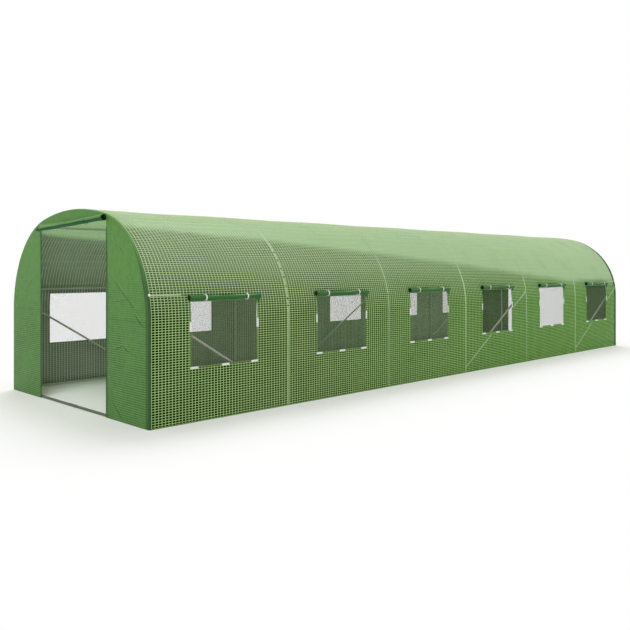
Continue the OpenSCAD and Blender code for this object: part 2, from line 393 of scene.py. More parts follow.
@dataclass(frozen=True)
class FilmFinish(Finish):
    """Thin green film that lets light and sight through, paler and less clear towards the ridge as a painted
    sky reflection.

    Opacity is how much of the film, seen once through, hides what is behind it. The ridge's colour is a
    painted sky reflection: it starts at the border, which falls towards the rear, and some of it, pale, shows
    from pale_from up as painted reflection where the film faces the sky.
    Far is what the colour is multiplied by towards the rear.
    """

    colour: Colour = (0.10, 0.26, 0.07)
    tint: Colour = (0.62, 0.84, 0.58)
    opacity: float = 0.35
    glow: float = 0.5
    roughness: float = 0.28
    gloss: float = 0.5
    ridge: Colour = (0.36, 0.48, 0.32)
    ridge_opacity: float = 0.8
    girth: float = 6.1010
    border: float = 1.50
    border_fall: float = 0.095
    border_low: float = 1.20
    border_soft: float = 0.14
    border_wave: float = 0.04
    pale: float = 0.0
    pale_from: float = 0.95
    pale_to: float = 1.50
    far: Triple = (1.0, 1.0, 1.0)
    far_from: float = -3.0
    far_to: float = 2.5

    def material(self) -> Material:
        """Builds the material."""
        made, w, out = self.start()
        where = self.place(w, flat=True)
        cloud = self.noise(w, where, 2.2, 4)
        along, height = w.add("ShaderNodeSeparateXYZ", {0: where}).outputs[:2]
        height = w.math("MINIMUM", height, w.math("SUBTRACT", self.girth, height))
        border = w.math("MULTIPLY_ADD", along, -self.border_fall, self.border)
        past = w.math("SUBTRACT", height, w.math("MAXIMUM", border, self.border_low))
        past = w.math("SUBTRACT", past, self.border_wave / 2)
        uneven = w.math("MULTIPLY_ADD", cloud, self.border_wave, past)
        # Painted sky reflection: above the border the ridge colour shows and the film hides more of what is
        # behind it.
        sheen_level = w.span(uneven, -self.border_soft / 2, self.border_soft / 2, (0.0, 1.0))
        crinkle = self.noise(w, self.place(w, (9, 3, 1), flat=True), 3.0, 4)
        shade = w.blend(cloud, shaded(self.colour, 0.82), shaded(self.colour, 1.2))
        if self.far != (1.0, 1.0, 1.0):
            deep = tuple(c * f for c, f in zip(self.colour, self.far))
            shade = w.blend(w.span(along, self.far_from, self.far_to, (0.0, 1.0)), shade, deep)
        # Painted sky reflection that grows with height, as the film turns up to the sky.
        paling = w.span(height, self.pale_from, self.pale_to, (0.0, self.pale))
        sheen_level = w.math("MAXIMUM", sheen_level, paling)
        shade = w.blend(sheen_level, shade, self.ridge)
        bump = w.bump(crinkle, 0.25, 0.004)
        skin = w.add("ShaderNodeBsdfPrincipled", {
            "Base Color": shade, "Normal": bump, "Specular IOR Level": self.gloss,
            "Roughness": w.span(cloud, 0.3, 0.7, (self.roughness, self.roughness + 0.14)),
        })
        through = w.add("ShaderNodeBsdfTranslucent", {"Color": shade, "Normal": bump})
        body = w.add("ShaderNodeMixShader", {0: self.glow, 1: skin.outputs[0], 2: through.outputs[0]})
        clear = w.add("ShaderNodeBsdfTransparent", {"Color": (*self.tint, 1)})
        hides = w.span(sheen_level, 0.0, 1.0, (self.opacity, self.ridge_opacity))
        mixed = w.add("ShaderNodeMixShader", {0: hides, 1: clear.outputs[0], 2: body.outputs[0]})
        w.tree.links.new(mixed.outputs[0], out.inputs[0])
        return made


@dataclass(frozen=True)
class ClothFinish(Finish):
    """Woven polyethylene cloth: flat tapes crossing over and under, with a soft sheen.

    Pitch is the width of one tape, and flat says whether the weave follows the flat cut.
    """

    colour: Colour = (0.105, 0.245, 0.070)
    pitch: Triple = (0.0055, 0.0055, 0.0055)
    glow: float = 0.12
    roughness: float = 0.5
    depth: float = 0.0005
    flat: bool = True
    gloss: float = 0.3
    opacity: float = 1.0

    def tint(self, wires: Wires, shade: Socket, where: Socket) -> Socket:
        """Leaves the colour as it is; a finish with marks of its own adds them here."""
        return shade

    def material(self) -> Material:
        """Builds the material."""
        made, w, out = self.start()
        where = self.place(w, flat=self.flat)
        axes = w.add("ShaderNodeSeparateXYZ", {0: where}).outputs
        along, across = self.bands(w, axes[0], self.pitch[0]), self.bands(w, axes[1], self.pitch[1])
        weave = w.math("MAXIMUM", w.math("MULTIPLY", along, 0.7), across)
        cloud, speck = self.noise(w, where, 3.1, 4), self.noise(w, where, 38.0, 3)
        tone = w.math("ADD", w.math("MULTIPLY", cloud, 0.55), w.math("MULTIPLY", speck, 0.45))
        mix = w.math("MULTIPLY_ADD", weave, 0.22, w.math("SUBTRACT", tone, 0.11))
        shade = w.blend(mix, shaded(self.colour, 0.80), shaded(self.colour, 1.22))
        shade = self.tint(w, shade, where)
        bump = w.bump(weave, 0.5, self.depth)
        skin = w.add("ShaderNodeBsdfPrincipled", {
            "Base Color": shade, "Normal": bump, "Specular IOR Level": self.gloss,
            "Roughness": w.span(tone, 0.3, 0.7, (self.roughness - 0.06, self.roughness + 0.1)),
        })
        through = w.add("ShaderNodeBsdfTranslucent", {"Color": shade, "Normal": bump})
        mixed = w.add("ShaderNodeMixShader", {0: self.glow, 1: skin.outputs[0], 2: through.outputs[0]})
        if self.opacity < 1:
            clear = w.add("ShaderNodeBsdfTransparent")
            mixed = w.add("ShaderNodeMixShader", {0: self.opacity, 1: clear.outputs[0], 2: mixed.outputs[0]})
        w.tree.links.new(mixed.outputs[0], out.inputs[0])
        return made


@dataclass(frozen=True)
class EndClothFinish(ClothFinish):
    """End cloth: the woven cloth with level ribs, fold marks painted as shade with a painted highlight beside
    them, and painted shade where the crease attribute says so.

    A fold is both ends' x and z, and how strong the mark is. Ribs fade out between two heights.
    """

    rib_pitch: float = 0.0215
    rib_depth: float = 0.75
    rib_fade: tuple[float, float] = (0.55, 1.55)
    fold_w: float = 0.011
    darkest: float = 0.85
    folds: tuple[Fold, ...] = (
        (0.77, 1.40, 1.32, 1.02, 0.45), (1.24, 1.03, 1.42, 0.90, 0.75), (0.88, 0.665, 1.05, 0.714, 0.55),
        (1.04, 0.714, 1.17, 0.656, 0.60), (1.17, 0.656, 1.32, 0.63, 0.25), (0.82, 0.195, 1.05, 0.021, 0.65),
        (0.96, 1.655, 1.08, 1.56, 0.35), (0.77, 1.11, 1.20, 1.155, 0.25), (0.81, 1.02, 1.01, 0.86, 0.20),
    )

    def fold(self, wires: Wires, where: Socket, line: Fold) -> tuple[Socket, Socket]:
        """Draws one fold mark: a dark line of painted shade with a painted highlight on the edge over it.

        Args:
            wires: The material's wires.
            where: The place on the flat cut.
            line: Both ends' x and z, and how strong the mark is.

        Returns:
            The painted shade line's and the painted highlight's sockets.
        """
        x0, z0, x1, z1, power = line
        long = math.hypot(x1 - x0, z1 - z0)
        step = ((x1 - x0) / long, (z1 - z0) / long, 0.0)
        start = wires.vector("SUBTRACT", where, (x0, z0, 0.0))
        along = wires.vector("DOT_PRODUCT", start, step)
        off = wires.vector("DOT_PRODUCT", start, (-step[1], step[0], 0.0))
        rise = wires.span(along, 0.0, 0.3 * long, (0.0, power))
        ends = wires.math("MINIMUM", rise, wires.span(along, 0.75 * long, long, (power, 0.0)))
        dark = wires.span(wires.math("ABSOLUTE", off), 0.2 * self.fold_w, self.fold_w, (1.0, 0.0))
        lit = wires.math("ABSOLUTE", wires.math("SUBTRACT", off, 1.4 * self.fold_w))
        lit = wires.span(lit, 0.2 * self.fold_w, self.fold_w, (1.0, 0.0))
        return wires.math("MULTIPLY", dark, ends), wires.math("MULTIPLY", lit, ends)

    def tint(self, wires: Wires, shade: Socket, where: Socket) -> Socket:
        """Darkens the ribs' gaps, which are clearest low down, and paints the fold marks' shade and
        highlights and the shade that the crease attribute carries.
        """
        height = wires.add("ShaderNodeSeparateXYZ", {0: where}).outputs[1]
        rib = wires.span(self.bands(wires, height, self.rib_pitch), 0.35, 0.9, (0.0, self.rib_depth))
        patch = self.noise(wires, self.place(wires, flat=True), 2.4, 2)
        low = wires.span(height, *self.rib_fade, (1.0, 0.15))
        clear = wires.math("MULTIPLY", wires.span(patch, 0.3, 0.6, (0.5, 1.0)), low)
        speckle = self.noise(wires, self.place(wires, (1, 0.7, 1), flat=True), 24.0, 3)
        marks = wires.math("MULTIPLY_ADD", rib, clear, wires.span(speckle, 0.4, 0.65, (0.0, 0.20)))
        lit: Any = 0.0
        for line in self.folds:
            dark, edge = self.fold(wires, where, line)
            marks, lit = wires.math("ADD", marks, dark), wires.math("MAXIMUM", lit, edge)
        # The crease attribute carries painted shade from the end wall's mesh.
        band = wires.add("ShaderNodeAttribute", attribute_name="crease").outputs["Fac"]
        marks = wires.math("MULTIPLY_ADD", band, self.darkest, marks)
        # Painted highlight beside the fold marks.
        shade = wires.blend(wires.math("MULTIPLY", lit, 0.5), shade, shaded(self.colour, 1.9))
        # Painted shade of the folds and of the crease attribute, with the weave's rib gaps and speckle.
        return wires.blend(wires.math("MINIMUM", marks, self.darkest), shade, shaded(self.colour, 0.25))


@dataclass(frozen=True)
class TapeFinish(ClothFinish):
    """Edge tape: dark where it stands beside the wall, as painted shade of the cloth's turn round the corner
    tube, and fading to the cloth's colour over the arch.
    """

    unshaded: Colour = (0.095, 0.255, 0.048)
    from_h: float = 1.15
    to_h: float = 1.70

    def tint(self, wires: Wires, shade: Socket, where: Socket) -> Socket:
        """Fades the tape's painted shade to the cloth's colour with height."""
        up = wires.add("ShaderNodeSeparateXYZ", {0: self.place(wires)}).outputs[2]
        return wires.blend(wires.span(up, self.from_h, self.to_h, (0.0, 1.0)), shade, self.unshaded)


@dataclass(frozen=True)
class StageFinish(Finish):
    """Pale floor that fades to plain white away from the tunnel's footprint."""

    colour: Colour = (0.90, 0.90, 0.89)
    half_footprint: Triple = (1.5, 5.0, 0.0)
    near: float = 0.05
    far: float = 2.0

    def material(self) -> Material:
        """Builds the material."""
        made, w, out = self.start()
        past = w.vector("SUBTRACT", w.vector("ABSOLUTE", self.place(w)), self.half_footprint)
        reach = w.vector("LENGTH", w.vector("MAXIMUM", past, (0, 0, 0)))
        grain = self.noise(w, self.place(w), 6.0, 4)
        tone = w.blend(grain, shaded(self.colour, 0.985), self.colour)
        matt = w.add("ShaderNodeBsdfDiffuse", {"Color": tone})
        white = w.add("ShaderNodeEmission", {"Color": (1, 1, 1, 1), "Strength": 1.0})
        keys = {"Value": reach, "From Min": self.near, "From Max": self.far}
        away = w.add("ShaderNodeMapRange", keys, interpolation_type="SMOOTHSTEP").outputs[0]
        fade = w.math("MULTIPLY", w.in_sight(), away)
        mixed = w.add("ShaderNodeMixShader", {0: fade, 1: matt.outputs[0], 2: white.outputs[0]})
        w.tree.links.new(mixed.outputs[0], out.inputs[0])
        return made


# Shape of the tunnel


@dataclass(frozen=True)
class Arch:
    """The cover's section: straight walls, shoulder arcs and a crown arc, meeting in tangents."""

    width: float = 3.0
    wall_h: float = 0.95
    shoulder_r: float = 1.05
    crown_r: float = 3.1

    @property
    def centre_x(self) -> float:
        """Distance of a shoulder arc's centre from the middle."""
        return self.width / 2 - self.shoulder_r

    @property
    def crown_rise(self) -> float:
        """Height of the shoulder centres above the crown arc's centre."""
        return math.sqrt((self.crown_r - self.shoulder_r) ** 2 - self.centre_x ** 2)

    @property
    def lean(self) -> float:
        """Half the crown arc's angle."""
        return math.atan2(self.centre_x, self.crown_rise)

    @property
    def shoulder_l(self) -> float:
        """Length of one shoulder arc."""
        return self.shoulder_r * (math.pi / 2 - self.lean)

    @property
    def girth(self) -> float:
        """Length of the cover from ground to ground."""
        return 2 * (self.wall_h + self.shoulder_l + self.crown_r * self.lean)

    def levels(self) -> np.ndarray:
        """Girth distances that follow the section closely, from ground to ground."""
        half = [
            np.linspace(0, self.wall_h, 9)[:-1],
            self.wall_h + np.linspace(0, self.shoulder_l, 15)[:-1],
            self.wall_h + self.shoulder_l + np.linspace(0, self.crown_r * self.lean, 6),
        ]
        right = np.concatenate(half)
        return np.concatenate([right, self.girth - right[-2::-1]])

    def path(self, steps: int = 600, inset: float = 0.0) -> np.ndarray:
        """Points of the section from the right-hand ground edge over to the left.

        Args:
            steps: Number of lengths between points.
            inset: How far inside the cover to run.

        Returns:
            One row of x, y, z to a point.
        """
        return np.array([self.point(s, inset) for s in np.linspace(0, self.girth, steps + 1)])

    def point(self, s: float, inset: float = 0.0) -> Triple:
        """The point at a girth distance, moved in from the cover's outer face."""
        if s > self.girth / 2:
            x, y, z = self.point(self.girth - s, inset)
            return (-x, y, z)
        if s <= self.wall_h:
            return (self.width / 2 - inset, 0.0, s)
        a = (s - self.wall_h) / self.shoulder_r
        if a <= math.pi / 2 - self.lean:
            r = self.shoulder_r - inset
            return (self.centre_x + r * math.cos(a), 0.0, self.wall_h + r * math.sin(a))
        b = self.lean - (s - self.wall_h - self.shoulder_l) / self.crown_r
        r = self.crown_r - inset
        return (r * math.sin(b), 0.0, self.wall_h - self.crown_rise + r * math.cos(b))

    def half_width(self, z: float, inset: float) -> float:
        """Half the width between the arch's sides at a height."""
        if z <= self.wall_h:
            return self.width / 2 - inset
        rise = z - self.wall_h
        side = (self.shoulder_r - inset) ** 2 - rise ** 2
        if side > 0 and rise <= (self.shoulder_r - inset) * math.cos(self.lean):
            return self.centre_x + math.sqrt(side)
        up = z - (self.wall_h - self.crown_rise)
        return math.sqrt(max((self.crown_r - inset) ** 2 - up ** 2, 0.0))

    def height(self, x: float, inset: float) -> float:
        """Height of the arch at a distance from the middle."""
        if abs(x) <= (self.crown_r - inset) * math.sin(self.lean):
            return self.wall_h - self.crown_rise + math.sqrt((self.crown_r - inset) ** 2 - x * x)
        return self.wall_h + math.sqrt((self.shoulder_r - inset) ** 2 - (abs(x) - self.centre_x) ** 2)


@dataclass(frozen=True)
class Layout:
    """Places along the tunnel, shared by the sub-assemblies."""

    arch: Arch = Arch()
    length: float = 10.0
    bays: int = 6
    edge_r: float = 0.0173
    window_w: float = 0.80
    window_sill: float = 0.52
    window_h: float = 0.605
    door_w: float = 1.45
    door_h: float = 1.90

    @property
    def front(self) -> float:
        """Y of the end panel's outer face."""
        return -self.length / 2

    @property
    def first_hoop(self) -> float:
        """Y of the front hoop's centre."""
        return self.front + self.edge_r

    @property
    def bay(self) -> float:
        """Distance between hoops."""
        return (self.length - 2 * self.edge_r) / self.bays

    @property
    def window_top(self) -> float:
        """Height of a window's upper edge."""
        return self.window_sill + self.window_h

    def hoops(self) -> list[float]:
        """Y of each hoop."""
        return [self.first_hoop + i * self.bay for i in range(self.bays + 1)]

    def windows(self) -> list[float]:
        """Y of each window's middle."""
        return [self.first_hoop + (i + 0.5) * self.bay for i in range(self.bays)]


# Geometry Nodes


class NodeTool:
    """A Geometry Nodes tree with named inputs, put on pieces as a modifier."""

    def __init__(self, name: str, inputs: dict[str, str]) -> None:
        """Opens the tree.

        Args:
            name: The tree's name.
            inputs: Input name to socket type, such as NodeSocketFloat.
        """
        self.tree = bpy.data.node_groups.new(name, "GeometryNodeTree")
        face = self.tree.interface
        face.new_socket("Geometry", in_out="INPUT", socket_type="NodeSocketGeometry")
        face.new_socket("Geometry", in_out="OUTPUT", socket_type="NodeSocketGeometry")
        self.keys: dict[str, str] = {}
        for key, kind in inputs.items():
            self.keys[key] = face.new_socket(key, in_out="INPUT", socket_type=kind).identifier
        self.wires = Wires(self.tree)
        self.given = self.wires.add("NodeGroupInput").outputs
        self.made = self.wires.add("NodeGroupOutput")

    def end(self, geometry: Socket) -> None:
        """Joins the last geometry to the tree's output."""
        self.tree.links.new(geometry, self.made.inputs[0])

    def end_dressed(self, geometry: Socket) -> None:
        """Gives the last geometry the tree's material and joins it to the output."""
        keys = {"Geometry": geometry, "Material": self.given["Material"]}
        self.end(self.wires.add("GeometryNodeSetMaterial", keys).outputs[0])

    def put(self, piece: Object, **values: Any) -> Object:
        """Adds the tree to a piece as a modifier.

        Args:
            piece: The object to change.
            values: Input names, with _ for each space, to their values.

        Returns:
            The same object.
        """
        modifier = piece.modifiers.new(self.tree.name, "NODES")
        modifier.node_group = self.tree
        for key, value in values.items():
            modifier[self.keys[key.replace("_", " ")]] = value
        return piece


class BendOverHoops(NodeTool):
    """Bends flat-cut cover pieces over the hoops, a little slack between them."""

    def __init__(self) -> None:
        """Builds the tree."""
        number = "NodeSocketFloat"
        super().__init__("bend_over_hoops", {
            "Arch": "NodeSocketObject", "Girth": number, "Bay": number, "First Hoop": number,
            "Wall": number, "Sag": number, "Ripple": number,
        })
        w, given = self.wires, self.given
        flat = w.add("GeometryNodeInputPosition").outputs[0]
        part = w.add("ShaderNodeSeparateXYZ", {0: flat}).outputs
        kept = w.add("GeometryNodeStoreNamedAttribute", {
            "Geometry": given["Geometry"], "Name": "UVMap", "Value": flat,
        }, data_type="FLOAT2", domain="CORNER").outputs[0]
        arch = w.add("GeometryNodeObjectInfo", {"Object": given["Arch"]}).outputs["Geometry"]
        line = w.add("GeometryNodeMeshToCurve", {"Mesh": arch}).outputs[0]
        keys = {"Curves": line, "Length": part[1]}
        found = w.add("GeometryNodeSampleCurve", keys, mode="LENGTH", use_all_curves=True)
        way = w.add("ShaderNodeSeparateXYZ", {0: found.outputs["Tangent"]}).outputs
        back = w.math("MULTIPLY", way[0], -1.0)
        turn = w.add("ShaderNodeCombineXYZ", {0: way[2], 1: 0.0, 2: back}).outputs[0]
        phase = w.math("DIVIDE", w.math("SUBTRACT", part[0], given["First Hoop"]), given["Bay"])
        dip = w.math("MULTIPLY_ADD", w.math("COSINE", w.math("MULTIPLY", phase, 2 * math.pi)), -0.5, 0.5)
        edge = w.math("MINIMUM", part[1], w.math("SUBTRACT", given["Girth"], part[1]))
        roof = w.span(w.math("SUBTRACT", edge, given["Wall"]), 0.05, 0.9, (0.0, 1.0))
        sag = w.math("MULTIPLY", w.math("MULTIPLY", dip, roof), given["Sag"])
        stretched = w.vector("MULTIPLY", flat, (2.6, 1.3, 0.0))
        loose = w.add("ShaderNodeTexNoise", {"Vector": stretched, "Scale": 1.0, "Detail": 1.0}).outputs[0]
        ripple = w.math("MULTIPLY", w.math("MULTIPLY", loose, dip), given["Ripple"])
        lift = w.math("SUBTRACT", part[2], w.math("ADD", sag, ripple))
        out = w.add("ShaderNodeVectorMath", {0: turn, "Scale": lift}, operation="SCALE").outputs[0]
        slide = w.add("ShaderNodeCombineXYZ", {1: part[0]}).outputs[0]
        place = w.vector("ADD", w.vector("ADD", found.outputs["Position"], out), slide)
        self.end(w.add("GeometryNodeSetPosition", {"Geometry": kept, "Position": place}).outputs[0])


class RepeatThreads(NodeTool):
    """Repeats one flat line into a set of ribs, left out where the windows are."""

    def __init__(self) -> None:
        """Builds the tree."""
        number = "NodeSocketFloat"
        super().__init__("repeat_threads", {
            "Count": "NodeSocketInt", "Step": "NodeSocketVector", "Width": number, "Thickness": number,
            "Bay": number, "First Hoop": number, "Half Window": number, "Sill": number, "Top": number,
            "Girth": number, "Material": "NodeSocketMaterial",
        })
        w, given = self.wires, self.given
        row = w.add("GeometryNodeMeshLine", {"Count": given["Count"], "Offset": given["Step"]}, mode="OFFSET")
        keys = {"Points": row.outputs[0], "Instance": given["Geometry"]}
        many = w.add("GeometryNodeInstanceOnPoints", keys)
        lines = w.add("GeometryNodeRealizeInstances", {0: many.outputs[0]}).outputs[0]
        part = w.add("ShaderNodeSeparateXYZ", {0: w.add("GeometryNodeInputPosition").outputs[0]}).outputs
        past = w.math("FLOORED_MODULO", w.math("SUBTRACT", part[0], given["First Hoop"]), given["Bay"])
        off = w.math("ABSOLUTE", w.math("SUBTRACT", past, w.math("MULTIPLY", given["Bay"], 0.5)))
        up = w.math("MINIMUM", part[1], w.math("SUBTRACT", given["Girth"], part[1]))
        beside = w.math("LESS_THAN", off, given["Half Window"])
        over, under = w.math("GREATER_THAN", up, given["Sill"]), w.math("LESS_THAN", up, given["Top"])
        keys = {"Geometry": lines, "Selection": w.math("MULTIPLY", beside, w.math("MULTIPLY", over, under))}
        cut = w.add("GeometryNodeDeleteGeometry", keys, domain="EDGE").outputs[0]
        curve = w.add("GeometryNodeMeshToCurve", {"Mesh": cut}).outputs[0]
        section = w.add("GeometryNodeCurvePrimitiveQuadrilateral", {
            "Width": given["Width"], "Height": given["Thickness"],
        }).outputs[0]
        keys = {"Curve": curve, "Profile Curve": section, "Fill Caps": True}
        self.end_dressed(w.add("GeometryNodeCurveToMesh", keys).outputs[0])


class WeaveNet(NodeTool):
    """Weaves a net of fine square threads at each point it is given, in the YZ plane."""

    def __init__(self) -> None:
        """Builds the tree."""
        number = "NodeSocketFloat"
        super().__init__("weave_net", {
            "Upright Count": "NodeSocketInt", "Level Count": "NodeSocketInt", "Pitch": number,
            "Upright": "NodeSocketVector", "Level": "NodeSocketVector",
            "Start": "NodeSocketVector", "Material": "NodeSocketMaterial",
        })
        w, given = self.wires, self.given
        sets = []
        for count, size, axis in (("Upright Count", "Upright", 1), ("Level Count", "Level", 2)):
            step = w.add("ShaderNodeCombineXYZ", {axis: given["Pitch"]}).outputs[0]
            part = w.add("ShaderNodeSeparateXYZ", {0: given["Start"]}).outputs
            begin = w.add("ShaderNodeCombineXYZ", {axis: part[axis]}).outputs[0]
            line = w.add("GeometryNodeMeshLine", {
                "Count": given[count], "Start Location": begin, "Offset": step,
            }, mode="OFFSET").outputs[0]
            cuts = {"Vertices Z": 8} if size == "Upright" else {}
            thread = w.add("GeometryNodeMeshCube", {"Size": given[size], **cuts}).outputs[0]
            keys = {"Points": line, "Instance": thread}
            sets.append(w.add("GeometryNodeInstanceOnPoints", keys).outputs[0])
        both = w.add("GeometryNodeJoinGeometry")
        for made in sets:
            self.tree.links.new(made, both.inputs[0])
        patch = w.add("GeometryNodeRealizeInstances", {0: both.outputs[0]}).outputs[0]
        keys = {"Points": given["Geometry"], "Instance": patch}
        many = w.add("GeometryNodeInstanceOnPoints", keys).outputs[0]
        self.end_dressed(w.add("GeometryNodeRealizeInstances", {0: many}).outputs[0])


class RepeatAlongPath(NodeTool):
    """Repeats an item along a path at a fixed pitch, its X along the path and its Z along facing."""

    def __init__(self) -> None:
        """Builds the tree."""
        super().__init__("repeat_along_path", {
            "Item": "NodeSocketObject", "Pitch": "NodeSocketFloat", "Material": "NodeSocketMaterial",
        })
        w, given = self.wires, self.given
        path = w.add("GeometryNodeMeshToCurve", {"Mesh": given["Geometry"]}).outputs[0]
        spots = w.add("GeometryNodeCurveToPoints", {"Curve": path, "Length": given["Pitch"]}, mode="LENGTH")
        facing = w.add("GeometryNodeInputNamedAttribute", {"Name": "facing"}, data_type="FLOAT_VECTOR")
        up = w.add("FunctionNodeAlignRotationToVector", {"Vector": facing.outputs[0]}, axis="Z").outputs[0]
        turn = w.add("FunctionNodeAlignRotationToVector", {
            "Rotation": up, "Vector": spots.outputs["Tangent"],
        }, axis="X", pivot_axis="Z").outputs[0]
        item = w.add("GeometryNodeObjectInfo", {"Object": given["Item"]}).outputs["Geometry"]
        many = w.add("GeometryNodeInstanceOnPoints", {
            "Points": spots.outputs[0], "Instance": item, "Rotation": turn,
        }).outputs[0]
        self.end_dressed(w.add("GeometryNodeRealizeInstances", {0: many}).outputs[0])


def paths(name: str, runs: Runs) -> Object:
    """Makes an object of loose edges to repeat items along.

    Args:
        name: The object's name.
        runs: For each path its points, and the facing direction at each point.

    Returns:
        The object, with a facing attribute on its points.
    """
    points, edges, facing = [], [], []
    for run, faces in runs:
        start = len(points)
        points += [tuple(p) for p in run]
        facing += [tuple(f) for f in np.broadcast_to(faces, np.shape(run))]
        edges += [(start + i, start + i + 1) for i in range(len(run) - 1)]
    made = mesh_object(name, np.array(points), edges=edges)
    layer = made.data.attributes.new("facing", "FLOAT_VECTOR", "POINT")
    layer.data.foreach_set("vector", np.array(facing, float).ravel())
    return made


def block(name: str, size: Triple, taper: float = 0.7) -> Object:
    """Makes a small pad-shaped item, narrower at the top.

    Args:
        name: The object's name.
        size: Its length, width and height, with its foot at zero height.
        taper: Size of its top as a share of its foot.

    Returns:
        The item.
    """
    half_l, half_w, high = size[0] / 2, size[1] / 2, size[2]
    ring = [(-half_l, -half_w), (half_l, -half_w), (half_l, half_w), (-half_l, half_w)]
    points = [(x, y, 0) for x, y in ring] + [(x * taper, y * taper, high) for x, y in ring]
    faces = [(3, 2, 1, 0), (4, 5, 6, 7)] + [(i, (i + 1) % 4, 4 + (i + 1) % 4, 4 + i) for i in range(4)]
    return mesh_object(name, np.array(points), faces, smooth=False)


def stitch(name: str) -> Object:
    """Makes one stitch of sewing thread."""
    return block(name, (0.0065, 0.0016, 0.0009), 0.8)


def bolt(name: str, radius: float = 0.0075, washer: float = 0.012) -> Object:
    """Makes a domed bolt head on a washer, standing on zero height.

    Args:
        name: The object's name.
        radius: Radius of the head.
        washer: Radius of the washer.

    Returns:
        The item.
    """
    rings = [
        (washer, 0.0), (washer, 0.0018), (radius, 0.0018),
        (radius, 0.0035), (0.7 * radius, 0.006), (0.0, 0.0068),
    ]
    turn = np.linspace(0, 2 * math.pi, 13)[:-1]
    points = [(r * math.cos(a), r * math.sin(a), z) for r, z in rings for a in turn]
    faces = grid_faces(len(rings), len(turn), closed=True) + [tuple(range(len(turn)))[::-1]]
    return outward(mesh_object(name, np.array(points), faces))


def spot(at: np.ndarray, facing: np.ndarray, half: float = 0.002) -> tuple[np.ndarray, np.ndarray]:
    """Makes a short path along the tunnel that holds one item."""
    step = np.array([0.0, half, 0.0])
    return np.array([at - step, at + step]), facing


def repeated(name: str, runs: Runs, item: Object, pitch: float, material: Material) -> Object:
    """Repeats an item along paths, as one plain mesh.

    Args:
        name: The piece's name.
        runs: For each path its points, and the facing direction at each point.
        item: The item, which is removed afterwards.
        pitch: Distance from one item to the next.
        material: The piece's finish.

    Returns:
        The piece.
    """
    made = RepeatAlongPath().put(paths(name, runs), Item=item, Pitch=pitch, Material=material)
    settle(made)
    discard(item)
    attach(made, "root")
    return made


# Sub-assemblies


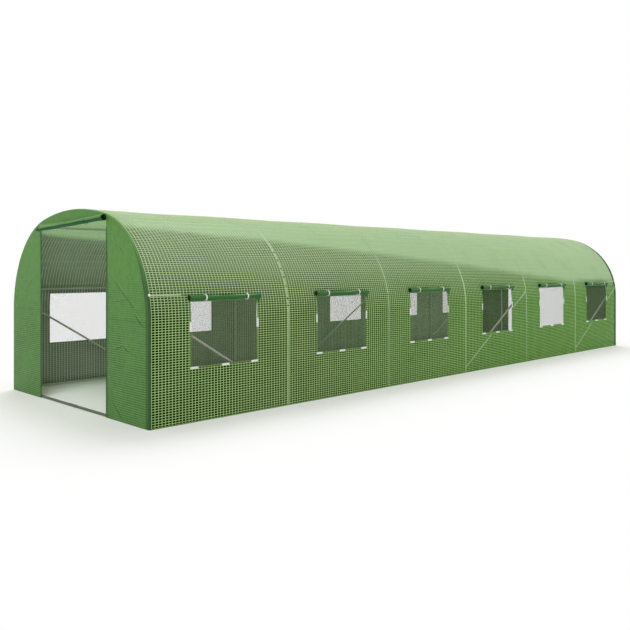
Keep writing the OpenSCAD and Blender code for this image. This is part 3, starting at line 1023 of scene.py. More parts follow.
@dataclass
class Palette:
    """Every finish on the tunnel, made once."""

    tube: Material = field(init=False)
    rail: Material = field(init=False)
    film: Material = field(init=False)
    film_inside_lit: Material = field(init=False)
    warp: Material = field(init=False)
    weft: Material = field(init=False)
    film_hem: Material = field(init=False)
    rib_inside_lit: Material = field(init=False)
    rung_inside_lit: Material = field(init=False)
    hoop_shine: Material = field(init=False)
    brace_shine: Material = field(init=False)
    cloth: Material = field(init=False)
    hem: Material = field(init=False)
    tape: Material = field(init=False)
    rear_tape_shade: Material = field(init=False)
    roll_end: Material = field(init=False)
    flap: Material = field(init=False)
    door_flap: Material = field(init=False)
    net: Material = field(init=False)
    webbing: Material = field(init=False)
    thread: Material = field(init=False)

    def __post_init__(self) -> None:
        """Builds the materials."""
        finishes: dict[str, Finish] = {
            "tube": TubeFinish("galvanised_tube"),
            "rail": TubeFinish("olive_rail", (0.10, 0.13, 0.07), (0.06, 0.08, 0.045), 0.1),
            **self.films(),
            **self.cloths(),
        }
        for name, finish in finishes.items():
            setattr(self, name, finish.material())

    def films(self) -> dict[str, Finish]:
        """Lists the finishes of the film, its ribs and its marks."""
        green, clear = (0.8, 0.95, 0.75), (0.9, 0.95, 0.9)
        return {
            # In every film finish, ridge and pale are a painted sky reflection. The film between the ribs is
            # dark and mostly opaque: painted shade for the shaded inside seen through the clear film.
            "film": FilmFinish(
                "green_film", (0.004, 0.030, 0.002), tint=(0.16, 0.20, 0.12), opacity=0.90, glow=0.5,
                roughness=0.22, gloss=0.05, ridge=(0.47, 0.70, 0.41), ridge_opacity=0.93,
                pale=0.33, far=(8.0, 4.0, 8.0),
            ),
            # Inside faces: pale grey copies of the film and ribs; their paleness is painted light, standing
            # in for daylight shining through the film into the tunnel.
            "film_inside_lit": FilmFinish(
                "film_inside", (0.62, 0.65, 0.55), tint=(0.90, 0.93, 0.85), opacity=0.42, glow=0.2,
                roughness=0.3, gloss=0.2, ridge=(0.80, 0.84, 0.74), ridge_opacity=0.2,
            ),
            "warp": FilmFinish(
                "upright_ribs", (0.52, 0.84, 0.28), tint=green, opacity=0.97, glow=0.3,
                roughness=0.25, gloss=0.2, ridge=(0.76, 0.90, 0.57), ridge_opacity=0.97,
                pale=0.8, far=(0.77, 1.0, 0.61),
            ),
            "weft": FilmFinish(
                "level_ribs", (0.62, 0.93, 0.36), tint=(0.7, 0.9, 0.65), opacity=0.97, glow=0.3,
                roughness=0.25, gloss=0.2, ridge=(0.74, 0.90, 0.55), ridge_opacity=0.96,
                pale=0.6, far=(0.77, 1.0, 0.61),
            ),
            "film_hem": FilmFinish(
                "film_hem", (0.21, 0.38, 0.11), tint=green, opacity=0.95, glow=0.3,
                roughness=0.3, gloss=0.2, ridge=(0.52, 0.72, 0.42), ridge_opacity=0.95, pale=0.5,
            ),
            # Inside faces of the ribs: their paleness is painted light for daylight through the film.
            "rib_inside_lit": FilmFinish(
                "ribs_inside", (0.92, 0.92, 0.85), tint=clear, opacity=0.95, glow=0.15,
                roughness=0.35, gloss=0.3, ridge=(0.90, 0.92, 0.84), ridge_opacity=0.25,
            ),
            "rung_inside_lit": FilmFinish(
                "rungs_inside", (0.55, 0.58, 0.48), tint=clear, opacity=0.92, glow=0.2,
                roughness=0.35, gloss=0.2, ridge=(0.80, 0.84, 0.74), ridge_opacity=0.25,
            ),
            # Pale lines over the tubes: a painted highlight of the lit tubes seen through the film, paler
            # with height as a painted sky reflection.
            "hoop_shine": FilmFinish(
                "film_over_hoop", (0.38, 0.60, 0.26), tint=green, opacity=0.80, glow=0.2,
                roughness=0.3, gloss=0.3, ridge=(0.66, 0.82, 0.56), ridge_opacity=0.80,
                pale=1.0, pale_from=0.5,
            ),
            "brace_shine": FilmFinish(
                "film_over_brace", (0.58, 0.74, 0.50), tint=green, opacity=0.75, glow=0.2,
                roughness=0.3, gloss=0.4, ridge=(0.70, 0.84, 0.62), ridge_opacity=0.75, pale=0.6,
            ),
        }

    def cloths(self) -> dict[str, Finish]:
        """Lists the finishes of cloth, tape, net and thread."""
        tape: dict[str, Any] = {"pitch": (0.0024,) * 3, "depth": 0.0004, "flat": False}
        fine: dict[str, Any] = {"depth": 0.0001, "flat": False}
        roll = (0.006,) * 3
        return {
            "cloth": EndClothFinish("end_cloth", (0.108, 0.290, 0.055)),
            "hem": ClothFinish("edge_tape", (0.030, 0.092, 0.028), glow=0.03, roughness=0.55, **tape),
            # The binding's dark colour low down is painted shade; it fades to the cloth's colour over the
            # arch.
            "tape": TapeFinish("edge_binding_tape", (0.020, 0.080, 0.020), glow=0.03, roughness=0.55, **tape),
            # Rear edge band: dark tape deepened by painted shade of the rear arch's edge.
            "rear_tape_shade": ClothFinish(
                "rear_edge_tape", (0.016, 0.062, 0.018), glow=0.03, roughness=0.6, gloss=0.1, **tape,
            ),
            # Near black cloth edges at the rolls' ends: painted shade in the hollows between the turns.
            "roll_end": ClothFinish(
                "roll_end_edge", (0.004, 0.016, 0.005), roll, glow=0.0, roughness=0.8, gloss=0.0,
            ),
            "flap": ClothFinish("flap_cloth", (0.020, 0.130, 0.020), roll, glow=0.05, roughness=0.45),
            # Door roll: the end cloth's colour darkened as painted shade, where the roll hangs in shade under
            # the gable.
            "door_flap": ClothFinish(
                "door_flap_cloth", (0.013, 0.105, 0.032), roll, glow=0.04, roughness=0.58, gloss=0.2,
            ),
            "net": ClothFinish(
                "net_thread", (0.21, 0.25, 0.17), (0.001,) * 3, glow=0.2, roughness=0.6, opacity=0.38, **fine,
            ),
            "webbing": ClothFinish("white_webbing", (0.90, 0.91, 0.86), glow=0.08, roughness=0.6, **tape),
            "thread": ClothFinish(
                "sewing_thread", (0.16, 0.30, 0.13), (0.0024,) * 3, glow=0.0, roughness=0.6, **fine,
            ),
        }


@dataclass
class Frame:
    """The galvanised tubes, which stay as modelled, and their bolts."""

    layout: Layout
    palette: Palette
    nodes: dict[str, Object]
    purlin_inset: float = 0.0566
    purlin_r: float = 0.0125
    purlin_angle: float = 70.0
    side_purlin_h: float = 1.187
    bolt_r: float = 0.009
    bolt_off: float = 0.03

    def build(self) -> list[Object]:
        """Dresses the tubes and bolts them together.

        Returns:
            The pieces that were added.
        """
        for name, node in self.nodes.items():
            if name.endswith(("legs", "bends", "tubes", "purlin", "base_rail", "braces", "posts")):
                coated = name in ("front_base_rail", "rear_base_rail")
                dress(node, self.palette.rail if coated else self.palette.tube)
        return [self.bolts(), self.corner_bolts()]

    def bolts(self) -> Object:
        """Puts a bolt on the inside of every purlin where it crosses a hoop."""
        arch, spots = self.layout.arch, []
        middle = arch.girth / 2
        shoulder = arch.wall_h + arch.shoulder_r * math.radians(self.purlin_angle)
        side = self.side_girth()
        for s in (side, shoulder, middle, 2 * middle - shoulder, 2 * middle - side):
            x, _, z = arch.point(s, self.purlin_inset)
            outer = np.array(arch.point(s, 0.0))
            inward = np.array([x, 0, z]) - outer
            inward /= np.linalg.norm(inward)
            for y in self.layout.hoops():
                towards = self.bolt_off if y < 0 else -self.bolt_off
                spots.append(spot(np.array([x, y + towards, z]), inward))
        return repeated("purlin_bolts", spots, bolt("bolt_item"), 1.0, self.palette.tube)

    def side_girth(self) -> float:
        """Girth distance of the side purlins."""
        arch = self.layout.arch
        run = arch.shoulder_r - self.purlin_inset + self.purlin_r
        return arch.wall_h + arch.shoulder_r * math.asin((self.side_purlin_h - arch.wall_h) / run)

    def corner_bolts(self) -> Object:
        """Puts a pale bolt through the cover at each end of both side purlins."""
        arch, spots = self.layout.arch, []
        for s in (self.side_girth(), arch.girth - self.side_girth()):
            at = np.array(arch.point(s))
            out = at - np.array(arch.point(s, 0.1))
            for y in (self.layout.first_hoop, -self.layout.first_hoop):
                spots.append(spot(at + (0.0, y, 0.0), out / np.linalg.norm(out)))
        item = bolt("corner_bolt_item", self.bolt_r, 1.5 * self.bolt_r)
        return repeated("corner_bolts", spots, item, 1.0, self.palette.webbing)


class FlatBars:
    """Flat bars in the cover's flat coordinates, gathered into one piece."""

    def __init__(self, half_t: float) -> None:
        """Takes half the bars' thickness."""
        self.half_t = half_t
        self.points: list[tuple[float, ...]] = []
        self.faces: list[tuple[int, ...]] = []

    def add(self, corners: Sequence[Any], steps: int) -> None:
        """Adds a bar between four corners.

        Args:
            corners: Two ends of one long edge, then of the other, backwards.
            steps: Number of cuts along its length.
        """
        a, b, c, d = (np.array(p) for p in corners)
        start, t = len(self.points), self.half_t
        for k in range(steps + 1):
            p, q = a + (b - a) * k / steps, d + (c - d) * k / steps
            self.points += [(*p, -t), (*q, -t), (*q, t), (*p, t)]
        self.faces += grid_faces(steps + 1, 4, closed=True, start=start)
        last = start + 4 * steps
        self.faces += [tuple(range(start, start + 4)), tuple(range(last, last + 4))[::-1]]

    def piece(self, name: str) -> Object:
        """Makes the piece, its faces outwards."""
        return outward(mesh_object(name, np.array(self.points), self.faces, smooth=False))


@dataclass
class Cover:
    """The film over walls and roof: a flat-cut sheet with woven ribs, bent over the hoops."""

    layout: Layout
    palette: Palette
    warp_pitch: float = 0.0365
    warp_w: float = 0.0066
    warp_t: float = 0.0017
    weft_pitch: float = 0.0235
    weft_w: float = 0.0054
    weft_t: float = 0.0013
    mark_w: float = 0.022
    mark_t: float = 0.0021
    mark_over: float = 0.30
    mark_fade: float = 0.4
    mark_lift: float = 0.0002
    band_hs: tuple[float, ...] = (0.0, 1.6, 2.7)
    band_ws: tuple[float, ...] = (0.055, 0.055, 0.012)
    film_t: float = 0.0006
    sag: float = 0.005
    ripple: float = 0.0025
    inset: float = 0.0016
    hem_w: float = 0.011
    hem_t: float = 0.0024
    ground_hem: float = 0.012
    brace_bays: tuple[int, ...] = (3, 5)
    brace_hs: tuple[float, float] = (0.075, 1.09)
    brace_mark_w: float = 0.016
    corner_mark: Triple = (1.195, 0.013, 0.34)
    along_gap: float = 0.012
    across_gap: float = 0.03
    girth: float = field(init=False)
    bend: BendOverHoops = field(init=False)
    bend_values: dict[str, Any] = field(init=False)

    def build(self) -> list[Object]:
        """Makes the film, its ribs and its hems.

        Returns:
            The pieces that were added.
        """
        lay, arch = self.layout, self.layout.arch
        line = arch.path(900, self.inset)
        helper = mesh_object("arch_line", line, edges=[(i, i + 1) for i in range(len(line) - 1)])
        self.girth = np.linalg.norm(np.diff(line, axis=0), axis=1).sum()
        self.bend = BendOverHoops()
        self.bend_values = dict(
            Arch=helper, Girth=self.girth, Bay=lay.bay, First_Hoop=lay.first_hoop,
            Wall=arch.wall_h, Sag=self.sag, Ripple=self.ripple,
        )
        film = self.film()
        extras = [
            self.ribs("film_warp", True), self.ribs("film_weft", False),
            self.hoop_marks(), self.rub_marks(), self.rear_band(), self.hems(),
        ]
        discard(helper)
        for piece in [film, *extras]:
            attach(piece, "root")
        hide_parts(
            "right_wall_sheet", "left_wall_sheet", "right_roof_sheet", "left_roof_sheet", "crown_sheet",
        )
        return [film, *extras]

    @property
    def sheet_l(self) -> float:
        """Length of the sheet between the end bindings."""
        return self.layout.length - 2 * self.layout.edge_r

    def along(self) -> np.ndarray:
        """Cuts along the tunnel: the window edges, and enough steps to follow the slack."""
        lay, marks = self.layout, []
        for hoop in lay.hoops()[:-1]:
            marks += [hoop + lay.bay * k / 8 for k in range(8)]
        marks.append(lay.hoops()[-1])
        edges = [y + s * lay.window_w / 2 for y in lay.windows() for s in (-1, 1)]
        keep = [m for m in marks if min(abs(m - e) for e in edges) > self.along_gap]
        return np.array(sorted(keep + edges))

    def across(self) -> np.ndarray:
        """Cuts round the girth: the window edges, and enough steps to follow the arch."""
        lay, arch = self.layout, self.layout.arch
        levels = arch.levels() * self.girth / arch.girth
        edges = [lay.window_sill, lay.window_top, self.girth - lay.window_sill, self.girth - lay.window_top]
        keep = [v for v in levels if min(abs(v - e) for e in edges) > self.across_gap]
        return np.array(sorted(keep + edges))

    def film(self) -> Object:
        """Cuts the sheet flat with its windows, bends it and gives it its thickness."""
        lay, us, vs = self.layout, self.along(), self.across()
        points = np.array([(u, v, 0.0) for v in vs for u in us])
        keep = []
        for face in grid_faces(len(vs), len(us)):
            u, v = points[list(face)].mean(0)[:2]
            beside = min(abs(u - y) for y in lay.windows()) < lay.window_w / 2
            up = min(v, self.girth - v)
            if not (beside and lay.window_sill < up < lay.window_top):
                keep.append(face[::-1])
        piece = mesh_object("cover_film", points, keep)
        self.bend.put(piece, **self.bend_values)
        thick = piece.modifiers.new("thickness", "SOLIDIFY")
        thick.thickness, thick.offset = self.film_t, 0.0
        return self.with_inside_finish(dress(settle(piece), self.palette.film), self.palette.film_inside_lit)

    def with_inside_finish(self, piece: Object, inner: Material) -> Object:
        """Gives the faces that look into the tunnel a finish of their own, a paler copy of the outside whose
        paleness is painted light.

        Args:
            piece: A bent piece of the cover.
            inner: The finish of its inside.

        Returns:
            The same piece.
        """
        mesh, arch = piece.data, self.layout.arch
        mesh.materials.append(inner)
        facing, middle = (np.zeros(3 * len(mesh.polygons), np.float32) for _ in range(2))
        mesh.polygons.foreach_get("normal", facing)
        mesh.polygons.foreach_get("center", middle)
        facing, middle = facing.reshape(-1, 3), middle.reshape(-1, 3)
        out_x = middle[:, 0] - np.clip(middle[:, 0], -arch.centre_x, arch.centre_x)
        out_z = np.maximum(middle[:, 2] - arch.wall_h, 0.0)
        inwards = facing[:, 0] * out_x + facing[:, 2] * out_z < -0.5 * np.hypot(out_x, out_z)
        mesh.polygons.foreach_set("material_index", inwards.astype(np.int32))
        mesh.update()
        return piece

    def ribs(self, name: str, upright: bool) -> Object:
        """Makes one set of the film's woven ribs.

        Args:
            name: The piece's name.
            upright: Whether the ribs run over the arch, or else along the tunnel.

        Returns:
            The piece.
        """
        lay = self.layout
        marks = self.across() if upright else self.along()
        pitch = self.warp_pitch if upright else self.weft_pitch
        room = self.sheet_l if upright else self.girth
        wide = self.warp_w if upright else self.weft_w
        count = 1 + round((room - wide) / pitch)
        pitch = (room - wide) / (count - 1)
        first = wide / 2 + (lay.first_hoop if upright else 0.0)
        points = [(first, m, 0.0) if upright else (m, first, 0.0) for m in marks]
        piece = mesh_object(name, np.array(points), edges=[(i, i + 1) for i in range(len(points) - 1)])
        RepeatThreads().put(
            piece, Count=count, Step=(pitch, 0, 0) if upright else (0, pitch, 0),
            Width=wide, Thickness=self.warp_t if upright else self.weft_t,
            Bay=lay.bay, First_Hoop=lay.first_hoop, Half_Window=lay.window_w / 2,
            Sill=lay.window_sill, Top=lay.window_top, Girth=self.girth,
            Material=self.palette.warp if upright else self.palette.weft,
        )
        self.bend.put(piece, **self.bend_values)
        return self.with_inside_finish(settle(piece), self.palette.rib_inside_lit if upright else self.palette.rung_inside_lit)

    def bent(self, bars: FlatBars, name: str, material: Material) -> Object:
        """Bends gathered bars over the hoops and dresses them.

        Args:
            bars: The flat bars.
            name: The piece's name.
            material: Its finish.

        Returns:
            The piece.
        """
        piece = bars.piece(name)
        self.bend.put(piece, **self.bend_values)
        return dress(settle(piece), material)

    def both_sides(self, bars: FlatBars, corners: Sequence[Any], steps: int) -> None:
        """Adds a bar on the right-hand side and the same one on the left.

        Args:
            bars: Where to add them.
            corners: The right-hand bar's corners.
            steps: Number of cuts along its length.
        """
        bars.add(corners, steps)
        bars.add([(u, self.girth - v) for u, v in corners], steps)

    def hoop_marks(self) -> Object:
        """Makes the pale lines where the film lies tight over the inner hoops, a painted highlight of the lit
        hoops seen through it, as far up as the painted sky sheen starts.
        """
        bars, wide, tip = FlatBars(self.mark_t / 2), self.mark_w / 2, self.mark_w / 8
        for y in self.layout.hoops()[1:-1]:
            sheen_level = max(FilmFinish.border - FilmFinish.border_fall * y, FilmFinish.border_low)
            top = sheen_level + self.mark_over
            middle = top - self.mark_fade
            for low, high, end_w in ((0.0, middle, wide), (middle, top, tip)):
                corners = [(y - wide, low), (y - end_w, high), (y + end_w, high), (y + wide, low)]
                self.both_sides(bars, corners, 16)
        return self.bent(bars, "hoop_marks", self.palette.hoop_shine)

    def rub_marks(self) -> Object:
        """Makes the pale lines where the film lies on the rising braces and on the purlins' ends, a painted
        highlight of the lit tubes seen through it.
        """
        lay, bars = self.layout, FlatBars(self.mark_t / 2 + self.mark_lift)
        low, high = self.brace_hs
        clear = self.hem_w + self.brace_mark_w
        run = np.array([lay.bay, high - low])
        across = np.array([-run[1], run[0]]) / np.linalg.norm(run) * self.brace_mark_w / 2
        for bay in self.brace_bays:
            start = np.array([lay.hoops()[bay], low])
            line = [start + t * run for t in np.linspace(0.0, 1.0, 61)]
            over = [
                i for i, (u, v) in enumerate(line)
                if abs(u - lay.windows()[bay]) < lay.window_w / 2 + clear
                and lay.window_sill - clear < v < lay.window_top + clear
            ]
            for first, last in ((0, over[0] - 1), (over[-1] + 1, len(line) - 1)):
                a, b = line[first], line[last]
                corners = [a - across, b - across, b + across, a + across]
                self.both_sides(bars, corners, max(last - first, 1))
        level, wide, reach = self.corner_mark
        for v in (level - wide / 2, self.girth - level - wide / 2):
            for u in (lay.first_hoop, -lay.first_hoop - reach):
                bars.add([(u, v), (u + reach, v), (u + reach, v + wide), (u, v + wide)], 10)
        return self.bent(bars, "rub_marks", self.palette.brace_shine)

    def rear_band(self) -> Object:
        """Makes the dark band along the rear edge, thinning out towards the ridge: the edge tape, with
        painted shade of the rear arch's turned edge.
        """
        bars, end = FlatBars(self.mark_t / 2 + self.mark_lift), -self.layout.first_hoop
        for low, high, low_w, high_w in zip(self.band_hs, self.band_hs[1:], self.band_ws, self.band_ws[1:]):
            self.both_sides(bars, [(end - low_w, low), (end - high_w, high), (end, high), (end, low)], 24)
        return self.bent(bars, "rear_band", self.palette.rear_tape_shade)

    def hems(self) -> Object:
        """Makes the doubled borders round the windows and along the ground."""
        lay, bars, wide = self.layout, FlatBars(self.hem_t / 2), self.hem_w
        low, high = lay.window_sill, lay.window_top
        for y in lay.windows():
            near, far = y - lay.window_w / 2, y + lay.window_w / 2
            for foot, top in ((low - wide, low), (high, high + wide)):
                corners = [(near - wide, foot), (far + wide, foot), (far + wide, top), (near - wide, top)]
                self.both_sides(bars, corners, 8)
            for edge in (near - wide, far):
                corners = [(edge, low), (edge, high), (edge + wide, high), (edge + wide, low)]
                self.both_sides(bars, corners, 6)
        start, stop = lay.first_hoop, -lay.first_hoop
        for foot in (0.0, self.girth - self.ground_hem):
            top = foot + self.ground_hem
            bars.add([(start, foot), (stop, foot), (stop, top), (start, top)], 60)
        return self.bent(bars, "film_hems", self.palette.film_hem)


@dataclass
class EndWall:
    """One end of the tunnel: two cloth panels, a gable, its binding and its seams.

    Creases are the place and strength of three level ones and an upright one. A fold is a point's x
    and z, its lean, its strength and its reach. The left-hand panel's lie a little higher.
    """

    layout: Layout
    palette: Palette
    nodes: dict[str, Object]
    end: End
    cloth_t: float = 0.0012
    slack: float = 0.008
    set_back: float = 0.0012
    tuck: float = 0.002
    tape_t: float = 0.002
    zip_top: float = 1.825
    zip_foot: float = 0.03
    tooth_off: float = 0.004
    tooth_pitch: float = 0.006
    stitch_foot: float = 0.01
    stitch_offs: tuple[float, float] = (0.013, 0.021)
    stitch_pitch: float = 0.010
    creases: tuple[tuple[float, float], ...] = ((0.96, 0.40), (0.47, 0.18), (1.43, 0.20), (1.11, 0.14))
    crease_w: float = 0.014
    fold_w: float = 0.016
    left_rise: tuple[float, float] = (0.02, 0.06)
    band_w: float = 0.045
    band_top: tuple[float, float] = (1.30, 1.75)
    folds: tuple[Fold, ...] = (
        (1.04, 1.21, 0.69, 0.75, 0.33), (1.33, 0.96, 0.68, 0.75, 0.10), (0.965, 0.69, -0.30, 0.55, 0.09),
        (1.11, 0.685, 0.46, 0.55, 0.08), (0.935, 0.108, 0.75, 0.65, 0.14), (1.02, 1.61, 0.79, 0.35, 0.07),
    )

    def build(self) -> list[Object]:
        """Makes the cloth and dresses the binding and zip tapes.

        Returns:
            The pieces that were added.
        """
        tag = self.end.tag
        dress(self.nodes[f"{tag}_edge_binding"], self.palette.tape)
        dress(self.nodes[f"{tag}_door_zips"], self.palette.hem)
        made = []
        for side in Side:
            left = (side is Side.LEFT) == (self.end is End.FRONT)
            made.append(self.panel(side, f"{tag}_{'left' if left else 'right'}_panel"))
        made.append(self.gable(f"{tag}_gable"))
        return made + [self.zip_teeth(f"{tag}_zip_teeth"), self.stitches(f"{tag}_stitches")]

    def turned(self, points: Any) -> np.ndarray:
        """Turns front-end points half round for the rear end."""
        return np.asarray(points, float) * self.end.turn

    def crease(self, x: float, z: float, side: int) -> tuple[float, float]:
        """How far the cloth stands out at a point, and how dark the painted shade under its middle fold is.

        Args:
            x: Distance from the middle.
            z: Height.
            side: 1 on the right-hand panel and -1 on the left.

        Returns:
            Metres outwards, and the painted shade from 0 to 1.
        """
        def ridge(distance: float, reach: float) -> float:
            """Height of a fold mark at a distance from its line."""
            return math.exp(-abs(distance) / reach)

        crease_rise, shift = self.left_rise if side < 0 else (0.0, 0.0)
        wide = self.crease_w
        middle, low, high, upright = self.creases
        level = z - middle[0] - crease_rise
        out = middle[1] * ridge(level, wide) + low[1] * ridge(z - low[0], wide)
        out += high[1] * ridge(z - high[0], wide) + upright[1] * ridge(x - upright[0], wide)
        # Painted shade in the hollow just under the middle level crease.
        mark = 0.30 * ridge(level + wide / 2, wide / 2)
        for x0, z0, lean, power, run in self.folds:
            gap = ((z - z0 - shift) + lean * (x - x0)) / math.hypot(1, lean)
            along = ((x - x0) - lean * (z - z0 - shift)) / math.hypot(1, lean)
            faded = power * math.exp(-((along / run) ** 2))
            out += faded * ridge(gap, self.fold_w)
        out += 0.30 * math.sin(5.3 * x + 2.1 * z + side) * math.sin(3.7 * z + 0.6 * side)
        return self.slack * max(out + 0.28, 0.0), min(mark, 1.0)

    def band(self, edge: float, z: float) -> float:
        """How dark the shaded turn of the cloth round the corner tube is.

        Args:
            edge: Distance from the panel's outer edge.
            z: Height.

        Returns:
            The mark from 0 to 1.
        """
        low, high = self.band_top
        wide = self.band_w * min(max((high - z) / (high - low), 0.0), 1.0)
        return min(max((wide - edge) / 0.010, 0.0), 1.0)

    def cloth(
        self,
        name: str,
        grid: np.ndarray,
        flat: tuple[float, float],
        area: float,
        marks: Sequence[float] = (),
    ) -> Object:
        """Makes one sheet of end cloth from rows of front-end points.

        Args:
            name: The CAD node that the sheet stands for.
            grid: Rows of x, y, z.
            flat: The cut's width and height; not used.
            area: The cut's area; not used.
            marks: How dark the painted shade is at each point, under the middle fold and on the turn round
                the corner tube.

        Returns:
            The piece.
        """
        rows, columns = grid.shape[:2]
        points = grid.reshape(-1, 3)
        piece = mesh_object(f"{name}_cloth", self.turned(points), grid_faces(rows, columns))
        # The crease attribute holds painted shade for the end cloth's colour.
        dark = piece.data.attributes.new("crease", "FLOAT", "POINT")
        dark.data.foreach_set("value", list(marks) or [0.0] * len(points))
        keep_flat_map(piece, points[:, [0, 2]])
        thick = piece.modifiers.new("thickness", "SOLIDIFY")
        thick.thickness, thick.offset = self.cloth_t, 0.0
        settle(piece)
        outward(piece)
        dress(piece, self.palette.cloth)
        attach(piece, "root")
        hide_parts(name)
        return piece

    def panel(self, side: Side, name: str) -> Object:
        """Makes the cloth beside the doorway.

        Args:
            side: Which side of the front end it is on, before any turn.
            name: The CAD node that it stands for.

        Returns:
            The piece.
        """
        lay, arch = self.layout, self.layout.arch
        inner, inset = lay.door_w / 2, lay.edge_r - self.tuck
        top = arch.height(inner, inset)
        levels = np.concatenate([np.linspace(0, arch.wall_h, 72)[:-1], np.linspace(arch.wall_h, top, 76)])
        grid, marks, area, last = [], [], 0.0, None
        for z in levels:
            outer = max(arch.half_width(z, inset), inner + 0.001)
            row = []
            for t in np.linspace(0, 1, 60):
                x = inner + t * (outer - inner)
                out, mark = self.crease(x, z, side.value)
                free = min(1.0, 8 * t * (1 - t) + 0.1)
                row.append((side.value * x, lay.front + self.set_back - out * free, z))
                # Painted shade where the right-hand panel turns round the corner tube.
                turn = self.band(outer - x, z) if side is Side.RIGHT else 0.0
                marks.append(max(mark, turn))
            if last is not None:
                area += (z - last[0]) * (outer - inner + last[1]) / 2
            last = (z, outer - inner)
            grid.append(row)
        return self.cloth(name, np.array(grid), (arch.width / 2 - inner, top), area, marks)

    def gable(self, name: str) -> Object:
        """Makes the cloth over the doorway.

        Args:
            name: The CAD node that it stands for.

        Returns:
            The piece.
        """
        lay, arch = self.layout, self.layout.arch
        inset, grid, half = lay.edge_r - self.tuck, [], lay.door_w / 2
        xs = np.linspace(-half, half, 61)
        tops = [arch.height(x, inset) for x in xs]
        for t in np.linspace(0, 1, 12):
            row = []
            for x, top in zip(xs, tops):
                z = lay.door_h + t * (top - lay.door_h)
                wave = 0.5 + 0.5 * math.sin(19 * x + 4 * t) * math.sin(7 * x + 1.3)
                row.append((x, lay.front + self.set_back - 0.004 * wave * math.sin(math.pi * t), z))
            grid.append(row)
        area = float(np.trapz(np.array(tops) - lay.door_h, xs))
        return self.cloth(name, np.array(grid), (lay.door_w, max(tops) - lay.door_h), area)

    def seams(self, off: float, foot: float) -> list[tuple[np.ndarray, np.ndarray]]:
        """Lists the paths up both sides of the doorway.

        Args:
            off: Distance from the doorway's edge.
            foot: Height of the lower end.

        Returns:
            Each path's points, and its facing direction.
        """
        runs, x, y = [], self.layout.door_w / 2 + off, self.layout.front - self.tape_t
        for side in Side:
            points = [(side.value * x, y, foot), (side.value * x, y, self.zip_top)]
            runs.append((self.turned(points), self.turned((0.0, -1.0, 0.0))))
        return runs

    def zip_teeth(self, name: str) -> Object:
        """Runs a coil of zip teeth down each side of the doorway."""
        item = block("tooth_item", (0.0034, 0.0065, 0.0022))
        runs = self.seams(self.tooth_off, self.zip_foot)
        return repeated(name, runs, item, self.tooth_pitch, self.palette.hem)

    def stitches(self, name: str) -> Object:
        """Sews the zip tapes down, and the cloth along its bound edge."""
        lay = self.layout
        edge = lay.arch.path(240, lay.edge_r + 0.006)[1:-1]
        edge[:, 1] = lay.front - 0.0006
        runs = [run for off in self.stitch_offs for run in self.seams(off, self.stitch_foot)]
        runs.append((self.turned(edge), self.turned((0.0, -1.0, 0.0))))
        item = stitch("stitch_item")
        return repeated(name, runs, item, self.stitch_pitch, self.palette.thread)


@dataclass(frozen=True)
class Roll:
    """A rolled-up flap: a wound strip of cloth with a hollow middle."""

    length: float
    core_r: float = 0.009
    turns: float = 4.5
    pitch: float = 0.004
    cloth_t: float = 0.0022
    taper: float = 0.24
    stations: int = 26
    points: int = 20

    @property
    def radius(self) -> float:
        """Outer radius of the roll."""
        return self.core_r + self.pitch * self.turns + self.cloth_t

    @property
    def strip(self) -> float:
        """Length of cloth that is wound up."""
        return 2 * math.pi * self.turns * (self.core_r + self.pitch * self.turns / 2)

    def shape(self, ties: Sequence[float], seed: float) -> Shape:
        """Works out the roll along +X, its free edge towards +Y.

        Args:
            ties: Places of the ties, as shares of the length from the middle.
            seed: Makes each roll's unevenness its own.

        Returns:
            The points, the faces and the flat-cut map of each point.
        """
        count = int(self.turns * self.points)
        rows, flat = [], []
        for k in range(self.stations):
            share = k / (self.stations - 1) - 0.5
            x = share * self.length
            pinch = sum(math.exp(-(((share - t) * self.length) / 0.035) ** 2) for t in ties)
            swell = 1.0 - self.taper * (share + 0.5) - 0.08 * pinch
            swell += 0.035 * math.sin(9 * share + seed) + 0.02 * math.sin(23 * share + 2 * seed)
            drop = -0.004 * math.cos(math.pi * share) + 0.0015 * math.sin(14 * share + seed)
            ring, marks = [], []
            for out, order in ((1, range(count + 1)), (0, range(count, -1, -1))):
                for i in order:
                    turn = i / self.points
                    r = self.core_r + self.pitch * turn + out * self.cloth_t
                    a = math.pi / 2 + 2 * math.pi * (self.turns - turn)
                    crush = 1.0 + 0.03 * math.sin(3 * a + 7 * share + seed) * turn / self.turns
                    crush -= 0.02 * turn / self.turns * abs(math.sin(6 * share * math.pi + a + seed))
                    r *= swell * crush * 0.97
                    across, up = r * math.cos(a - math.pi / 2), r * math.sin(a - math.pi / 2)
                    ring.append((x, across, up * 0.98 + drop))
                    marks.append((x, turn * 2 * math.pi * (self.core_r + self.pitch * turn / 2)))
            rows.append(ring)
            flat.append(marks)
        ring_n = 2 * (count + 1)
        faces = grid_faces(self.stations, ring_n, closed=True)
        for k, back in ((0, False), (self.stations - 1, True)):
            for i in range(count):
                low, high = k * ring_n + i, (k + 1) * ring_n - 1 - i
                cap = (low, low + 1, high - 1, high)
                faces.append(cap[::-1] if back else cap)
        return np.array(rows).reshape(-1, 3), faces, np.array(flat).reshape(-1, 2)


